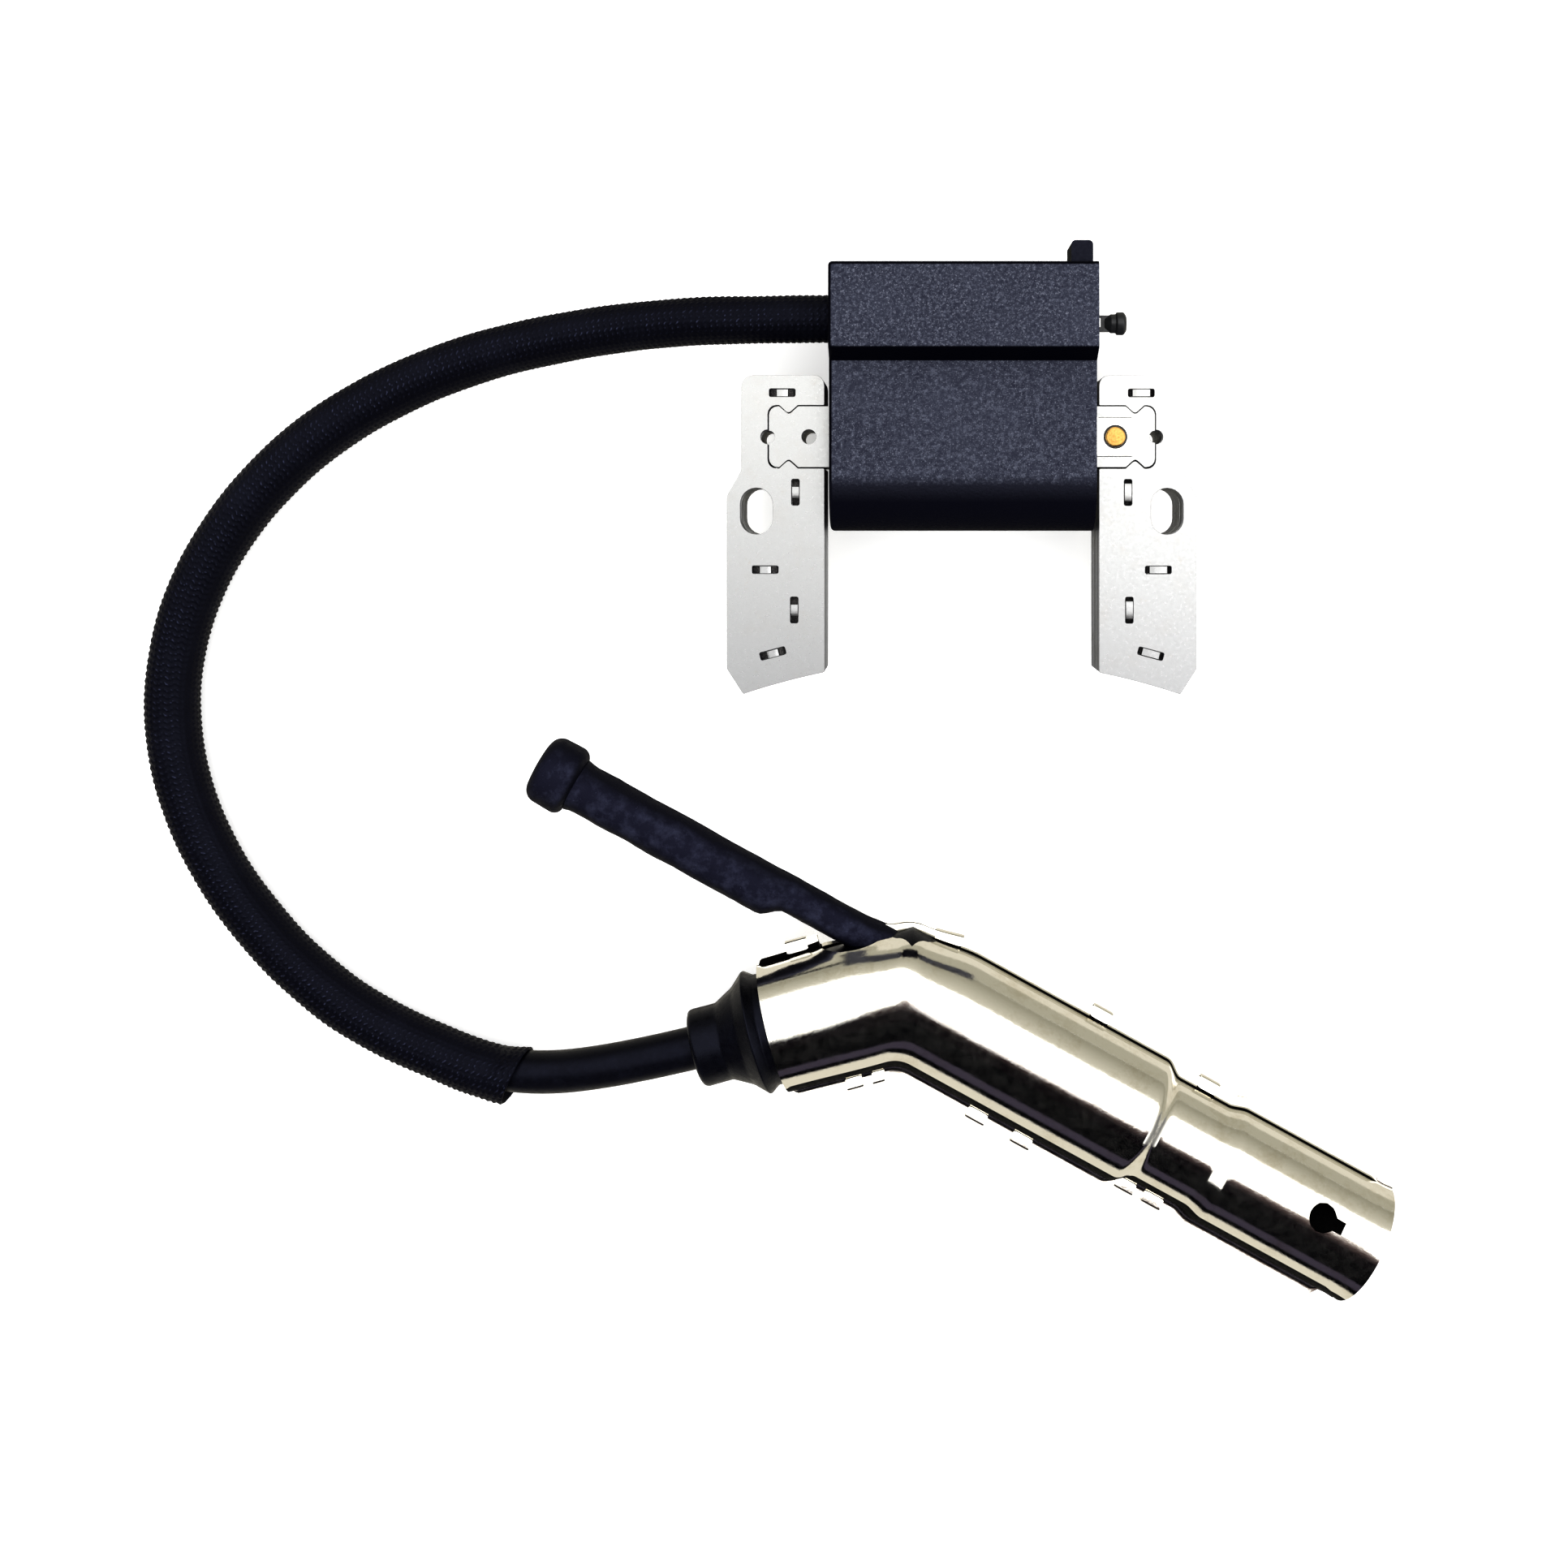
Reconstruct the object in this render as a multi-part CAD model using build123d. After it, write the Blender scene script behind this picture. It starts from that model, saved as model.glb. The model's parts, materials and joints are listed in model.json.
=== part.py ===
"""Small-engine ignition coil with a braided high-voltage lead and a metal-shielded plug cap.

Millimetres. +X runs across the two core legs, +Y from the pole faces to the wire-guide lug,
+Z from the coil's back, which it rests on, to its front. The origin is under the middle of the
coil module, on the surface that it rests on.
"""

import os
from math import pi, radians, sqrt, tan

from build123d import *

os.makedirs("parts", exist_ok=True)

# ---------------------------------------------------------------- driving dimensions

# laminated core
CORE_BACK = 9.5
CORE_THICK = 13.0
CORE_FRONT = CORE_BACK + CORE_THICK
CORE_MID = CORE_BACK + CORE_THICK / 2
LEG_INNER_X = 21.8
LEG_UPPER_X = 35.0
LEG_OUTER_X = 37.3
LEG_TOP_Y = 15.0
LEG_JOG_TOP_Y = -0.2
LEG_JOG_LOW_Y = -4.2
FLYWHEEL_R = 109.0
POLE_TIP_X = 34.7
POLE_TIP_Y = -35.65
POLE_CUT_Y = -31.4
BAR_Y = 5.2
BAR_HALF_Y = 4.85
BAR_HALF_X = 30.65
NUB_X = 27.5
NUB_R = 1.5
NUB_OUTSET = 0.35
JOINT_HOLE_R = 1.15
RIVET_X = 24.3

# fixing slots, one in each leg
SLOT_X = 32.6
SLOT_Y = -6.6
SLOT_R = 2.6
SLOT_LENGTH = 7.4

# pressed interlocks that hold the sheets together: x, y, turn about Z
INTERLOCKS = [(28.5, 12.2, 0), (26.4, -3.6, 90), (31.2, -15.9, 0), (26.6, -22.3, 90), (30.0, -29.2, -15)]
INTERLOCK_LENGTH = 4.0
INTERLOCK_WIDTH = 1.2
INTERLOCK_DEPTH = 0.45

# housing
CASE_LEFT = -20.8
CASE_RIGHT = 20.7
CASE_LOW_Y = -9.7
CASE_TOP_Y = 31.7
CASE_FRONT = 30.0
CASE_RAISED_FRONT = 33.5
CASE_STEP_LOW_Y = 16.7
CASE_STEP_TOP_Y = 18.4
CASE_NOSE_R = 8.0
CASE_HEEL_R = 3.0
CASE_EDGE_R = 0.8
CASE_WALL = 1.8
TUNNEL_GAP = 0.1
TUNNEL_WALL = 0.8
RESIN_RECESS = 0.6

# windings, each counted outwards from the tunnel
BOBBIN_WALL = 0.6
PRIMARY_WIRE = 1.4
PRIMARY_HALF_X = 15.5
SECONDARY_WALL = 0.7
SECONDARY_WIRE = 1.4
SECONDARY_HALF_X = 14.5
SECONDARY_SECTIONS = 5
FLANGE = 0.7
FLANGE_PROUD = 0.2

# high-voltage lead
LEAD_R = 3.5
CONDUCTOR_R = 1.0
SLEEVE_R = 4.5
SLEEVE_BORE_R = 3.6
LEAD_EXIT_Y = 24.6
LEAD_EXIT_Z = 16.0

# plug cap: the elbow point, the plug axis, and the direction back along the lead
CAP_Z = 10.95
ELBOW = (-8.95, -85.6, CAP_Z)
PLUG_TURN = -28.8
LEAD_TURN = 195.4
SHIELD_R = 10.9
SHIELD_NECK_R = 9.15
SHIELD_END_R = 9.95
SHIELD_WALL = 0.5
SHIELD_LENGTH = 85.8
SHIELD_LEAD_END = 22.5
SHIELD_LEAD_R = 10.6
NECK_FROM = 43.4
NECK_FULL = 46.0
NECK_TO = 55.6
SOCKET_FROM = 58.4
SEAM_PROUD = 1.9
SEAM_STOPS = 82.4
KEYHOLE_AT = 78.0
KEYHOLE_R = 2.3
KEYHOLE_SLIT = 2.0
BOOT_END = 57.0
PLUG_BORE_R = 5.3
PLUG_BORE_FROM = 36.5
SEAL_INNER = 20.5
SEAL_FLARE = 25.4
SEAL_CONE_END = 30.7
SEAL_END = 35.9
LEAD_STOPS = 20.0

# pull handle, on a line beside the plug axis
HANDLE_PIVOT = -20.0
HANDLE_THIN_R = 2.95
HANDLE_THIN_Y = 4.75
HANDLE_THICK_R = 4.1
HANDLE_THICK_Y = 3.6
HANDLE_STEP = -24.0
HANDLE_THICK_FROM = -27.7
HANDLE_KNOB_FROM = -64.2
HANDLE_END = -70.9
HANDLE_KNOB_R = 5.9
BALL_GAP = 0.15


# ---------------------------------------------------------------- helpers

def block(x0, x1, y0, y1, z0, z1):
    """A box between two corners."""
    return Pos((x0 + x1) / 2, (y0 + y1) / 2, (z0 + z1) / 2) * Box(x1 - x0, y1 - y0, z1 - z0)


def rod_x(radius, x0, x1, y=0.0, z=0.0):
    """A cylinder along X."""
    return Pos((x0 + x1) / 2, y, z) * Rot(0, 90, 0) * Cylinder(radius, x1 - x0)


def rod_z(radius, x, y, z0, z1):
    """A cylinder along Z."""
    return Pos(x, y, (z0 + z1) / 2) * Cylinder(radius, z1 - z0)


def turned(stations):
    """A solid of revolution about X from (x, radius) stations."""
    first, last = stations[0][0], stations[-1][0]
    corners = [(first, 0), *stations, (last, 0)]
    outline = make_face(Polyline(*corners, close=True))
    return revolve(outline, Axis.X, 360)


def ring_tube(half_y, half_z, corner, x0, x1):
    """A rounded-rectangle prism along X round the core bar."""
    outline = Plane.YZ * RectangleRounded(2 * half_y, 2 * half_z, corner)
    return Pos(x0, BAR_Y, CORE_MID) * extrude(outline, x1 - x0)


def on_plug_axis(shape):
    """Place a shape built along +X onto the plug axis, from the elbow outwards."""
    return Pos(*ELBOW) * Rot(0, 0, PLUG_TURN) * shape


def on_lead_axis(shape):
    """Place a shape built along +X onto the lead's axis, from the elbow back to the lead."""
    return Pos(*ELBOW) * Rot(0, 0, LEAD_TURN) * shape


def save(shape, name):
    """Write one sub-part."""
    shape.label = name
    export_step(shape, f"parts/{name}.step")


# ---------------------------------------------------------------- laminated core

def bar_outline():
    """The core bar: a strip whose ends are notched to key into the legs."""
    outline = Pos(0, BAR_Y) * RectangleRounded(2 * BAR_HALF_X, 2 * BAR_HALF_Y, 1.2)
    for side in (-1, 1):
        for edge in (-1, 1):
            nub_y = BAR_Y + edge * (BAR_HALF_Y + NUB_OUTSET)
            outline -= Pos(side * NUB_X, nub_y) * Circle(NUB_R)
    notch_corners = outline.vertices().filter_by(lambda v: abs(abs(v.X) - NUB_X) < NUB_R)
    return fillet(notch_corners, 0.45)


def leg_outline():
    """The right-hand leg, with its pole face on the flywheel's circle."""
    flywheel_y = POLE_TIP_Y - sqrt(FLYWHEEL_R ** 2 - POLE_TIP_X ** 2)
    inner_y = flywheel_y + sqrt(FLYWHEEL_R ** 2 - LEG_INNER_X ** 2)
    middle_x = (LEG_INNER_X + POLE_TIP_X) / 2
    middle_y = flywheel_y + sqrt(FLYWHEEL_R ** 2 - middle_x ** 2)
    edges = Polyline(
        (POLE_TIP_X, POLE_TIP_Y),
        (LEG_OUTER_X, POLE_CUT_Y),
        (LEG_OUTER_X, LEG_JOG_LOW_Y),
        (LEG_UPPER_X, LEG_JOG_TOP_Y),
        (LEG_UPPER_X, LEG_TOP_Y),
        (LEG_INNER_X, LEG_TOP_Y),
        (LEG_INNER_X, inner_y),
    )
    pole = ThreePointArc((LEG_INNER_X, inner_y), (middle_x, middle_y), (POLE_TIP_X, POLE_TIP_Y))
    outline = make_face([*edges.edges(), *pole.edges()])
    top = outline.vertices().filter_by(lambda v: v.Y > LEG_TOP_Y - 0.01)
    outline = fillet(top, 1.8)
    jog = outline.vertices().filter_by(lambda v: LEG_JOG_LOW_Y - 0.1 < v.Y < LEG_JOG_TOP_Y + 0.1)
    return fillet(jog, 1.5)


def interlock(x, y, turn, z0, z1):
    """One pressed interlock, as a slot-shaped prism."""
    return Pos(x, y, z0) * Rot(0, 0, turn) * extrude(SlotOverall(INTERLOCK_LENGTH, INTERLOCK_WIDTH), z1 - z0)


def joint_holes(side):
    """The keying hole on a joint line and the pin hole beside it."""
    keying = rod_z(JOINT_HOLE_R, side * BAR_HALF_X, BAR_Y, CORE_BACK - 1, CORE_FRONT + 1)
    pin = rod_z(JOINT_HOLE_R, side * RIVET_X, BAR_Y, CORE_BACK - 1, CORE_FRONT + 1)
    return keying + pin


def core_bar():
    bar = Pos(0, 0, CORE_BACK) * extrude(bar_outline(), CORE_THICK)
    return bar - joint_holes(-1) - joint_holes(1)


def right_leg(bar_blank):
    leg = Pos(0, 0, CORE_BACK) * extrude(leg_outline(), CORE_THICK)
    leg -= bar_blank
    leg -= joint_holes(1)
    slot = Pos(SLOT_X, SLOT_Y, CORE_BACK - 1) * Rot(0, 0, 90) * extrude(
        SlotOverall(SLOT_LENGTH, 2 * SLOT_R), CORE_THICK + 2
    )
    leg -= slot
    for x, y, turn in INTERLOCKS:
        leg -= interlock(x, y, turn, CORE_FRONT - INTERLOCK_DEPTH, CORE_FRONT + 1)
        leg += interlock(x, y, turn, CORE_BACK - INTERLOCK_DEPTH, CORE_BACK)
    return leg


# ---------------------------------------------------------------- housing and potting

def case_outline(inset):
    """The housing's section across X: a raised upper part, a step and a round nose below."""
    low, top = CASE_LOW_Y + inset, CASE_TOP_Y - inset
    back, front, raised = inset, CASE_FRONT - inset, CASE_RAISED_FRONT - inset
    slope_shift = inset * 0.25
    corners = [
        (low, back),
        (top, back),
        (top, raised),
        (CASE_STEP_TOP_Y + slope_shift, raised),
        (CASE_STEP_LOW_Y + slope_shift, front),
        (low, front),
    ]
    outline = make_face(Polyline(*corners, close=True))
    nose = outline.vertices().filter_by(lambda v: v.X < low + 0.01 and v.Y > front - 0.01)
    outline = fillet(nose, CASE_NOSE_R - inset)
    heel = outline.vertices().filter_by(lambda v: v.X < low + 0.01 and v.Y < back + 0.01)
    outline = fillet(heel, CASE_HEEL_R - inset)
    if inset == 0:
        rim = outline.vertices().filter_by(lambda v: v.X > top - 0.01 or v.Y > raised - 0.01)
        outline = fillet(rim, CASE_EDGE_R)
    return Plane.YZ * outline


TUNNEL_IN_Y = BAR_HALF_Y + TUNNEL_GAP
TUNNEL_IN_Z = CORE_THICK / 2 + TUNNEL_GAP
TUNNEL_OUT_Y = TUNNEL_IN_Y + TUNNEL_WALL
TUNNEL_OUT_Z = TUNNEL_IN_Z + TUNNEL_WALL


def tunnel(half_y, half_z, x0, x1):
    """The square passage through the housing that the core bar fills."""
    return ring_tube(half_y, half_z, 0.3, x0, x1)


def coil_housing():
    case = Pos(CASE_LEFT, 0, 0) * extrude(case_outline(0), CASE_RIGHT - CASE_LEFT)
    closed_end = case.faces().sort_by(Axis.X)[0]
    case = fillet(closed_end.edges(), CASE_EDGE_R * 0.8)
    pocket_from = CASE_LEFT + CASE_WALL
    case -= Pos(pocket_from, 0, 0) * extrude(case_outline(CASE_WALL), CASE_RIGHT - pocket_from + 1)
    case += tunnel(TUNNEL_OUT_Y, TUNNEL_OUT_Z, CASE_LEFT + CASE_WALL / 2, CASE_RIGHT)
    case -= tunnel(TUNNEL_IN_Y, TUNNEL_IN_Z, CASE_LEFT - 1, CASE_RIGHT + 1)
    case -= rod_x(LEAD_R, CASE_LEFT - 1, pocket_from + 1, LEAD_EXIT_Y, LEAD_EXIT_Z)
    lug = block(16.9, 20.3, CASE_TOP_Y - 1, -POLE_TIP_Y, 20, 28)
    lug = fillet(lug.edges().filter_by(Axis.Z).group_by(Axis.Y)[-1], 0.7)
    return case + lug


def potting_resin(sealed):
    """The epoxy that fills the housing round everything sealed in it."""
    pocket_from = CASE_LEFT + CASE_WALL
    fill = Pos(pocket_from, 0, 0) * extrude(
        case_outline(CASE_WALL), CASE_RIGHT - RESIN_RECESS - pocket_from
    )
    fill -= tunnel(TUNNEL_OUT_Y, TUNNEL_OUT_Z, pocket_from - 1, CASE_RIGHT + 1)
    for piece in sealed:
        fill -= piece
    return fill


# ---------------------------------------------------------------- windings

PRIMARY_IN_Y = TUNNEL_OUT_Y
PRIMARY_IN_Z = TUNNEL_OUT_Z
PRIMARY_TUBE_Y = PRIMARY_IN_Y + BOBBIN_WALL
PRIMARY_TUBE_Z = PRIMARY_IN_Z + BOBBIN_WALL
PRIMARY_OUT_Y = PRIMARY_TUBE_Y + PRIMARY_WIRE
PRIMARY_OUT_Z = PRIMARY_TUBE_Z + PRIMARY_WIRE
SECONDARY_TUBE_Y = PRIMARY_OUT_Y + SECONDARY_WALL
SECONDARY_TUBE_Z = PRIMARY_OUT_Z + SECONDARY_WALL
SECONDARY_OUT_Y = SECONDARY_TUBE_Y + SECONDARY_WIRE
SECONDARY_OUT_Z = SECONDARY_TUBE_Z + SECONDARY_WIRE


def primary_bobbin():
    body = ring_tube(PRIMARY_TUBE_Y, PRIMARY_TUBE_Z, 0.9, -PRIMARY_HALF_X, PRIMARY_HALF_X)
    for x in (-PRIMARY_HALF_X, PRIMARY_HALF_X - FLANGE):
        body += ring_tube(PRIMARY_OUT_Y, PRIMARY_OUT_Z, 2.0, x, x + FLANGE)
    return body - ring_tube(PRIMARY_IN_Y, PRIMARY_IN_Z, 0.3, -PRIMARY_HALF_X - 1, PRIMARY_HALF_X + 1)


def primary_winding():
    reach = PRIMARY_HALF_X - FLANGE
    coil = ring_tube(PRIMARY_OUT_Y, PRIMARY_OUT_Z, 2.0, -reach, reach)
    return coil - ring_tube(PRIMARY_TUBE_Y, PRIMARY_TUBE_Z, 0.9, -reach - 1, reach + 1)


def section_edges():
    """Where each section of the secondary starts and ends along X."""
    pitch = (2 * SECONDARY_HALF_X - FLANGE) / SECONDARY_SECTIONS
    starts = [-SECONDARY_HALF_X + pitch * k for k in range(SECONDARY_SECTIONS)]
    return [(x + FLANGE, x + pitch) for x in starts]


def secondary_bobbin():
    flange_y = SECONDARY_OUT_Y + FLANGE_PROUD
    flange_z = SECONDARY_OUT_Z + FLANGE_PROUD
    body = ring_tube(flange_y, flange_z, 4.0, -SECONDARY_HALF_X, SECONDARY_HALF_X)
    for x0, x1 in section_edges():
        groove = ring_tube(flange_y + 1, flange_z + 1, 4.0, x0, x1)
        body -= groove - ring_tube(SECONDARY_TUBE_Y, SECONDARY_TUBE_Z, 2.7, x0, x1)
    return body - ring_tube(PRIMARY_OUT_Y, PRIMARY_OUT_Z, 2.0, -SECONDARY_HALF_X - 1, SECONDARY_HALF_X + 1)


def secondary_winding():
    """One ring of fine wire in each section, as separate solids."""
    rings = []
    for x0, x1 in section_edges():
        ring = ring_tube(SECONDARY_OUT_Y, SECONDARY_OUT_Z, 3.8, x0, x1)
        rings.append(ring - ring_tube(SECONDARY_TUBE_Y, SECONDARY_TUBE_Z, 2.7, x0 - 1, x1 + 1))
    return Compound(children=rings)


# ---------------------------------------------------------------- electronics and terminals

BOARD_Z = 22.5
BOARD_THICK = 1.0
BOARD_TOP = BOARD_Z + BOARD_THICK
KILL_Y = 23.3
KILL_Z = 21.0


def circuit_board():
    board = block(-14.0, 14.0, 17.6, 29.2, BOARD_Z, BOARD_TOP)
    for x, y in ((-12.5, 28.0), (12.5, 28.0)):
        board -= rod_z(0.6, x, y, BOARD_Z - 1, BOARD_TOP + 1)
    return board


def switching_transistor():
    """A flat power package with its tab lying on the board."""
    body = block(-11.0, -1.5, 19.5, 27.5, BOARD_TOP, BOARD_TOP + 3.6)
    tab = block(-1.5, 2.5, 20.0, 27.0, BOARD_TOP, BOARD_TOP + 1.2)
    return body + tab


def board_resistors():
    """Two axial resistors."""
    return Compound(children=[rod_x(1.1, 4.5, 10.5, y, BOARD_TOP + 1.1) for y in (20.2, 23.4)])


def trigger_capacitor():
    body = block(4.2, 11.4, 25.6, 28.8, BOARD_TOP, BOARD_TOP + 4.6)
    return fillet(body.edges().filter_by(Axis.Z), 0.8)


def clamp_diode():
    return rod_x(1.3, -9.0, -3.5, 26.0, BOARD_Z - 1.3)


def hv_terminal():
    """The brass pin that enters the lead, with its link down to the last secondary section."""
    pin = rod_x(CONDUCTOR_R, CASE_LEFT + CASE_WALL, -14.6, LEAD_EXIT_Y, LEAD_EXIT_Z)
    link = block(-15.6, -14.6, BAR_Y + SECONDARY_OUT_Y - 1.5, LEAD_EXIT_Y + 1.0, 15.0, 17.0)
    return pin + link


def kill_terminal():
    """The stop-switch blade: a thin strip with a window, standing out of the resin."""
    blade = block(12.5, 24.4, KILL_Y - 1.3, KILL_Y + 1.3, KILL_Z - 0.4, KILL_Z + 0.4)
    blade -= block(21.1, 22.2, KILL_Y - 0.55, KILL_Y + 0.95, KILL_Z - 1, KILL_Z + 1)
    blade += block(12.5, 13.3, KILL_Y - 1.3, KILL_Y + 1.3, KILL_Z, BOARD_Z)
    return blade


def kill_terminal_cap():
    """The moulded head on the blade, waisted towards the housing."""
    head = turned([(22.9, 1.45), (23.7, 1.55), (24.6, 1.85), (25.8, 1.85), (26.2, 1.5)])
    return Pos(0, KILL_Y, KILL_Z) * head


def ground_strap():
    """Sheet strap from the resin, over the tunnel's end and down onto the core bar."""
    half = 3.0
    y0, y1 = BAR_Y - half, BAR_Y + half
    bend_x = CASE_RIGHT + 0.05
    strap = block(bend_x, 27.4, y0, y1, CORE_FRONT, CORE_FRONT + 0.5)
    strap += block(bend_x, bend_x + 0.5, y0, y1, CORE_FRONT, 26.2)
    strap += block(17.0, bend_x + 0.5, y0, y1, 25.7, 26.2)
    return strap - rod_z(1.75, RIVET_X, BAR_Y, CORE_FRONT - 1, CORE_FRONT + 1)


def ground_rivet():
    """Brass rivet through the strap and the bar."""
    rivet = rod_z(JOINT_HOLE_R, RIVET_X, BAR_Y, CORE_BACK, CORE_FRONT)
    rivet += rod_z(1.75, RIVET_X, BAR_Y, CORE_FRONT, CORE_FRONT + 0.25)
    rivet += rod_z(1.5, RIVET_X, BAR_Y, CORE_FRONT + 0.25, CORE_FRONT + 0.65)
    rivet += rod_z(1.7, RIVET_X, BAR_Y, CORE_BACK - 0.5, CORE_BACK)
    return rivet


# ---------------------------------------------------------------- high-voltage lead

def cap_point(distance):
    """A point on the lead's axis in the cap, this far back from the elbow."""
    tip = on_lead_axis(Pos(distance, 0, 0)).position
    return (tip.X, tip.Y, tip.Z)


# from the housing round the loop to the cap; the last two points lie on the cap's own axis
LEAD_ROUTE = [
    (-19.0, 24.6, 16.0),
    (-37.0, 24.6, 16.0),
    (-54.5, 24.0, 11.2),
    (-75.0, 21.0, 6.6),
    (-93.0, 15.1, 4.9),
    (-108.8, 5.8, 4.7),
    (-121.4, -6.8, 4.7),
    (-129.9, -22.1, 4.7),
    (-132.9, -38.1, 4.7),
    (-130.5, -54.2, 4.7),
    (-122.8, -69.8, 4.7),
    (-111.5, -83.1, 4.7),
    (-98.0, -93.2, 4.7),
    (-76.5, -101.6, 5.2),
    cap_point(45.0),
    cap_point(LEAD_STOPS),
]


def bend_radii(route):
    """One radius for each corner: as large as its two runs allow."""
    radii = []
    for before, corner, after in zip(route, route[1:], route[2:]):
        run_in = Vector(*corner) - Vector(*before)
        run_out = Vector(*after) - Vector(*corner)
        shorter = min(run_in.length, run_out.length)
        half_turn = radians(run_in.get_angle(run_out) / 2)
        radii.append(0.45 * shorter / tan(half_turn))
    return radii


def tube_along(path, radius):
    section = Plane(origin=path @ 0, z_dir=path % 0) * Circle(radius)
    return sweep(section, path=path)


def lead_pieces():
    """Conductor, insulation and the braided sleeve, all on one route."""
    radii = bend_radii(LEAD_ROUTE)
    print("lead radii", [round(r, 1) for r in radii])
    path = FilletPolyline(*LEAD_ROUTE, radius=radii).wire()
    print("lead length", round(path.length, 1))
    screw_in = 12.0
    conductor_path = path.trim(0, 1 - screw_in / path.length)
    conductor = tube_along(conductor_path, CONDUCTOR_R)
    insulation = tube_along(path, LEAD_R) - tube_along(path, CONDUCTOR_R)
    wall_to_start = CASE_WALL
    sleeve_from_cap = 49.0
    sleeve_path = path.trim(wall_to_start / path.length, 1 - sleeve_from_cap / path.length)
    sleeve = tube_along(sleeve_path, SLEEVE_R) - tube_along(sleeve_path, SLEEVE_BORE_R)
    for name, piece, area in (
        ("conductor", conductor, pi * CONDUCTOR_R ** 2 * conductor_path.length),
        ("insulation", insulation, pi * (LEAD_R ** 2 - CONDUCTOR_R ** 2) * path.length),
        ("sleeve", sleeve, pi * (SLEEVE_R ** 2 - SLEEVE_BORE_R ** 2) * sleeve_path.length),
    ):
        print(name, "volume", round(piece.volume), "section times length", round(area))
    return conductor, insulation, sleeve


# ---------------------------------------------------------------- plug cap

MITRE_TURN = (PLUG_TURN + LEAD_TURN - 180) / 2


def plug_side():
    """Everything on the plug's side of the elbow's mitre."""
    half = Pos(150, 0, 0) * Box(300, 300, 300)
    return Pos(*ELBOW) * Rot(0, 0, MITRE_TURN) * half


def lead_side():
    half = Pos(-150, 0, 0) * Box(300, 300, 300)
    return Pos(*ELBOW) * Rot(0, 0, MITRE_TURN) * half


def elbow_solid(plug_stations, lead_stations):
    """Two turned solids joined at the mitre."""
    plug_part = on_plug_axis(turned(plug_stations)) & plug_side()
    lead_part = on_lead_axis(turned(lead_stations)) & lead_side()
    return plug_part + lead_part


OVERRUN = 15.0


def shield_solid(inset, end_allowance=0.0):
    """The shield's outer form, or its bore when inset by the wall."""
    plug_stations = [
        (-OVERRUN, SHIELD_R - inset),
        (NECK_FROM, SHIELD_R - inset),
        (NECK_FULL, SHIELD_NECK_R - inset),
        (NECK_TO, SHIELD_NECK_R - inset),
        (SOCKET_FROM, SHIELD_END_R - inset),
        (SHIELD_LENGTH + end_allowance, SHIELD_END_R - inset),
    ]
    lead_stations = [
        (-OVERRUN, SHIELD_R - inset),
        (6.0, SHIELD_R - inset),
        (SHIELD_LEAD_END + end_allowance, SHIELD_LEAD_R - inset),
    ]
    return elbow_solid(plug_stations, lead_stations)


def seam_plate():
    """Both seam flanges as one flat plate through the tube, before it is cored out."""
    plug_edge = [
        (-OVERRUN, SHIELD_R + SEAM_PROUD),
        (NECK_FROM, SHIELD_R + SEAM_PROUD),
        (NECK_FULL + 0.6, SHIELD_NECK_R + SEAM_PROUD),
        (NECK_TO, SHIELD_NECK_R + SEAM_PROUD),
        (SOCKET_FROM, SHIELD_END_R + SEAM_PROUD),
        (SEAM_STOPS, SHIELD_END_R + SEAM_PROUD),
    ]
    lead_edge = [(-OVERRUN, SHIELD_R + SEAM_PROUD), (SHIELD_LEAD_END - 0.8, SHIELD_R + SEAM_PROUD)]
    plates = []
    for edge, place, side in ((plug_edge, on_plug_axis, plug_side()), (lead_edge, on_lead_axis, lead_side())):
        outline = [*edge, *[(x, -y) for x, y in reversed(edge)]]
        plate = extrude(make_face(Polyline(*outline, close=True)), SHIELD_WALL, both=True)
        plates.append(place(plate) & side)
    return plates[0] + plates[1]


def shield_cuts():
    """The keyhole slit at the socket end and the opening that the handle comes through."""
    reach = 2 * SHIELD_R
    hole = Pos(KEYHOLE_AT, 0, 0) * Cylinder(KEYHOLE_R, reach * 2)
    slit = block(KEYHOLE_AT, SHIELD_LENGTH + 5, -KEYHOLE_SLIT / 2, KEYHOLE_SLIT / 2, -reach, reach)
    keyhole = on_plug_axis(hole + slit)
    handle_opening = on_lead_axis(block(-1.7, 10.8, -reach, -6.0, -3.4, 3.4))
    return keyhole + handle_opening


TAB_LENGTH = 3.4
TAB_WALL = 0.4


def shield_tabs():
    """Tabs of the rear half folded round the front half's flange."""
    edge = SHIELD_R + SEAM_PROUD
    neck_edge = SHIELD_NECK_R + SEAM_PROUD
    places = [
        (on_plug_axis, 4.5, edge, 1), (on_plug_axis, 30.1, edge, 1), (on_plug_axis, 50.8, neck_edge, 1),
        (on_plug_axis, 24.0, edge, -1), (on_plug_axis, 49.6, neck_edge, -1),
        (on_lead_axis, 15.4, edge, -1), (on_lead_axis, 9.4, edge, 1),
    ]
    tabs = []
    for place, at, edge_y, side in places:
        x0, x1 = at - TAB_LENGTH / 2, at + TAB_LENGTH / 2
        wall = block(x0, x1, edge_y, edge_y + TAB_WALL, -SHIELD_WALL, SHIELD_WALL + TAB_WALL)
        leaf = block(x0, x1, edge_y - 1.3, edge_y + TAB_WALL, SHIELD_WALL, SHIELD_WALL + TAB_WALL)
        tab = wall + leaf
        tabs.append(place(tab if side > 0 else mirror(tab, Plane.XZ)))
    return tabs


def shield_halves():
    shell = shield_solid(0) + seam_plate()
    shell -= shield_solid(SHIELD_WALL, end_allowance=1.0)
    shell -= shield_cuts()
    front_space = Pos(-9, -86, CAP_Z + 50) * Box(300, 300, 100)
    front = shell & front_space
    rear = shell - front_space
    for tab in shield_tabs():
        rear += tab
    return front, rear


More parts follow.
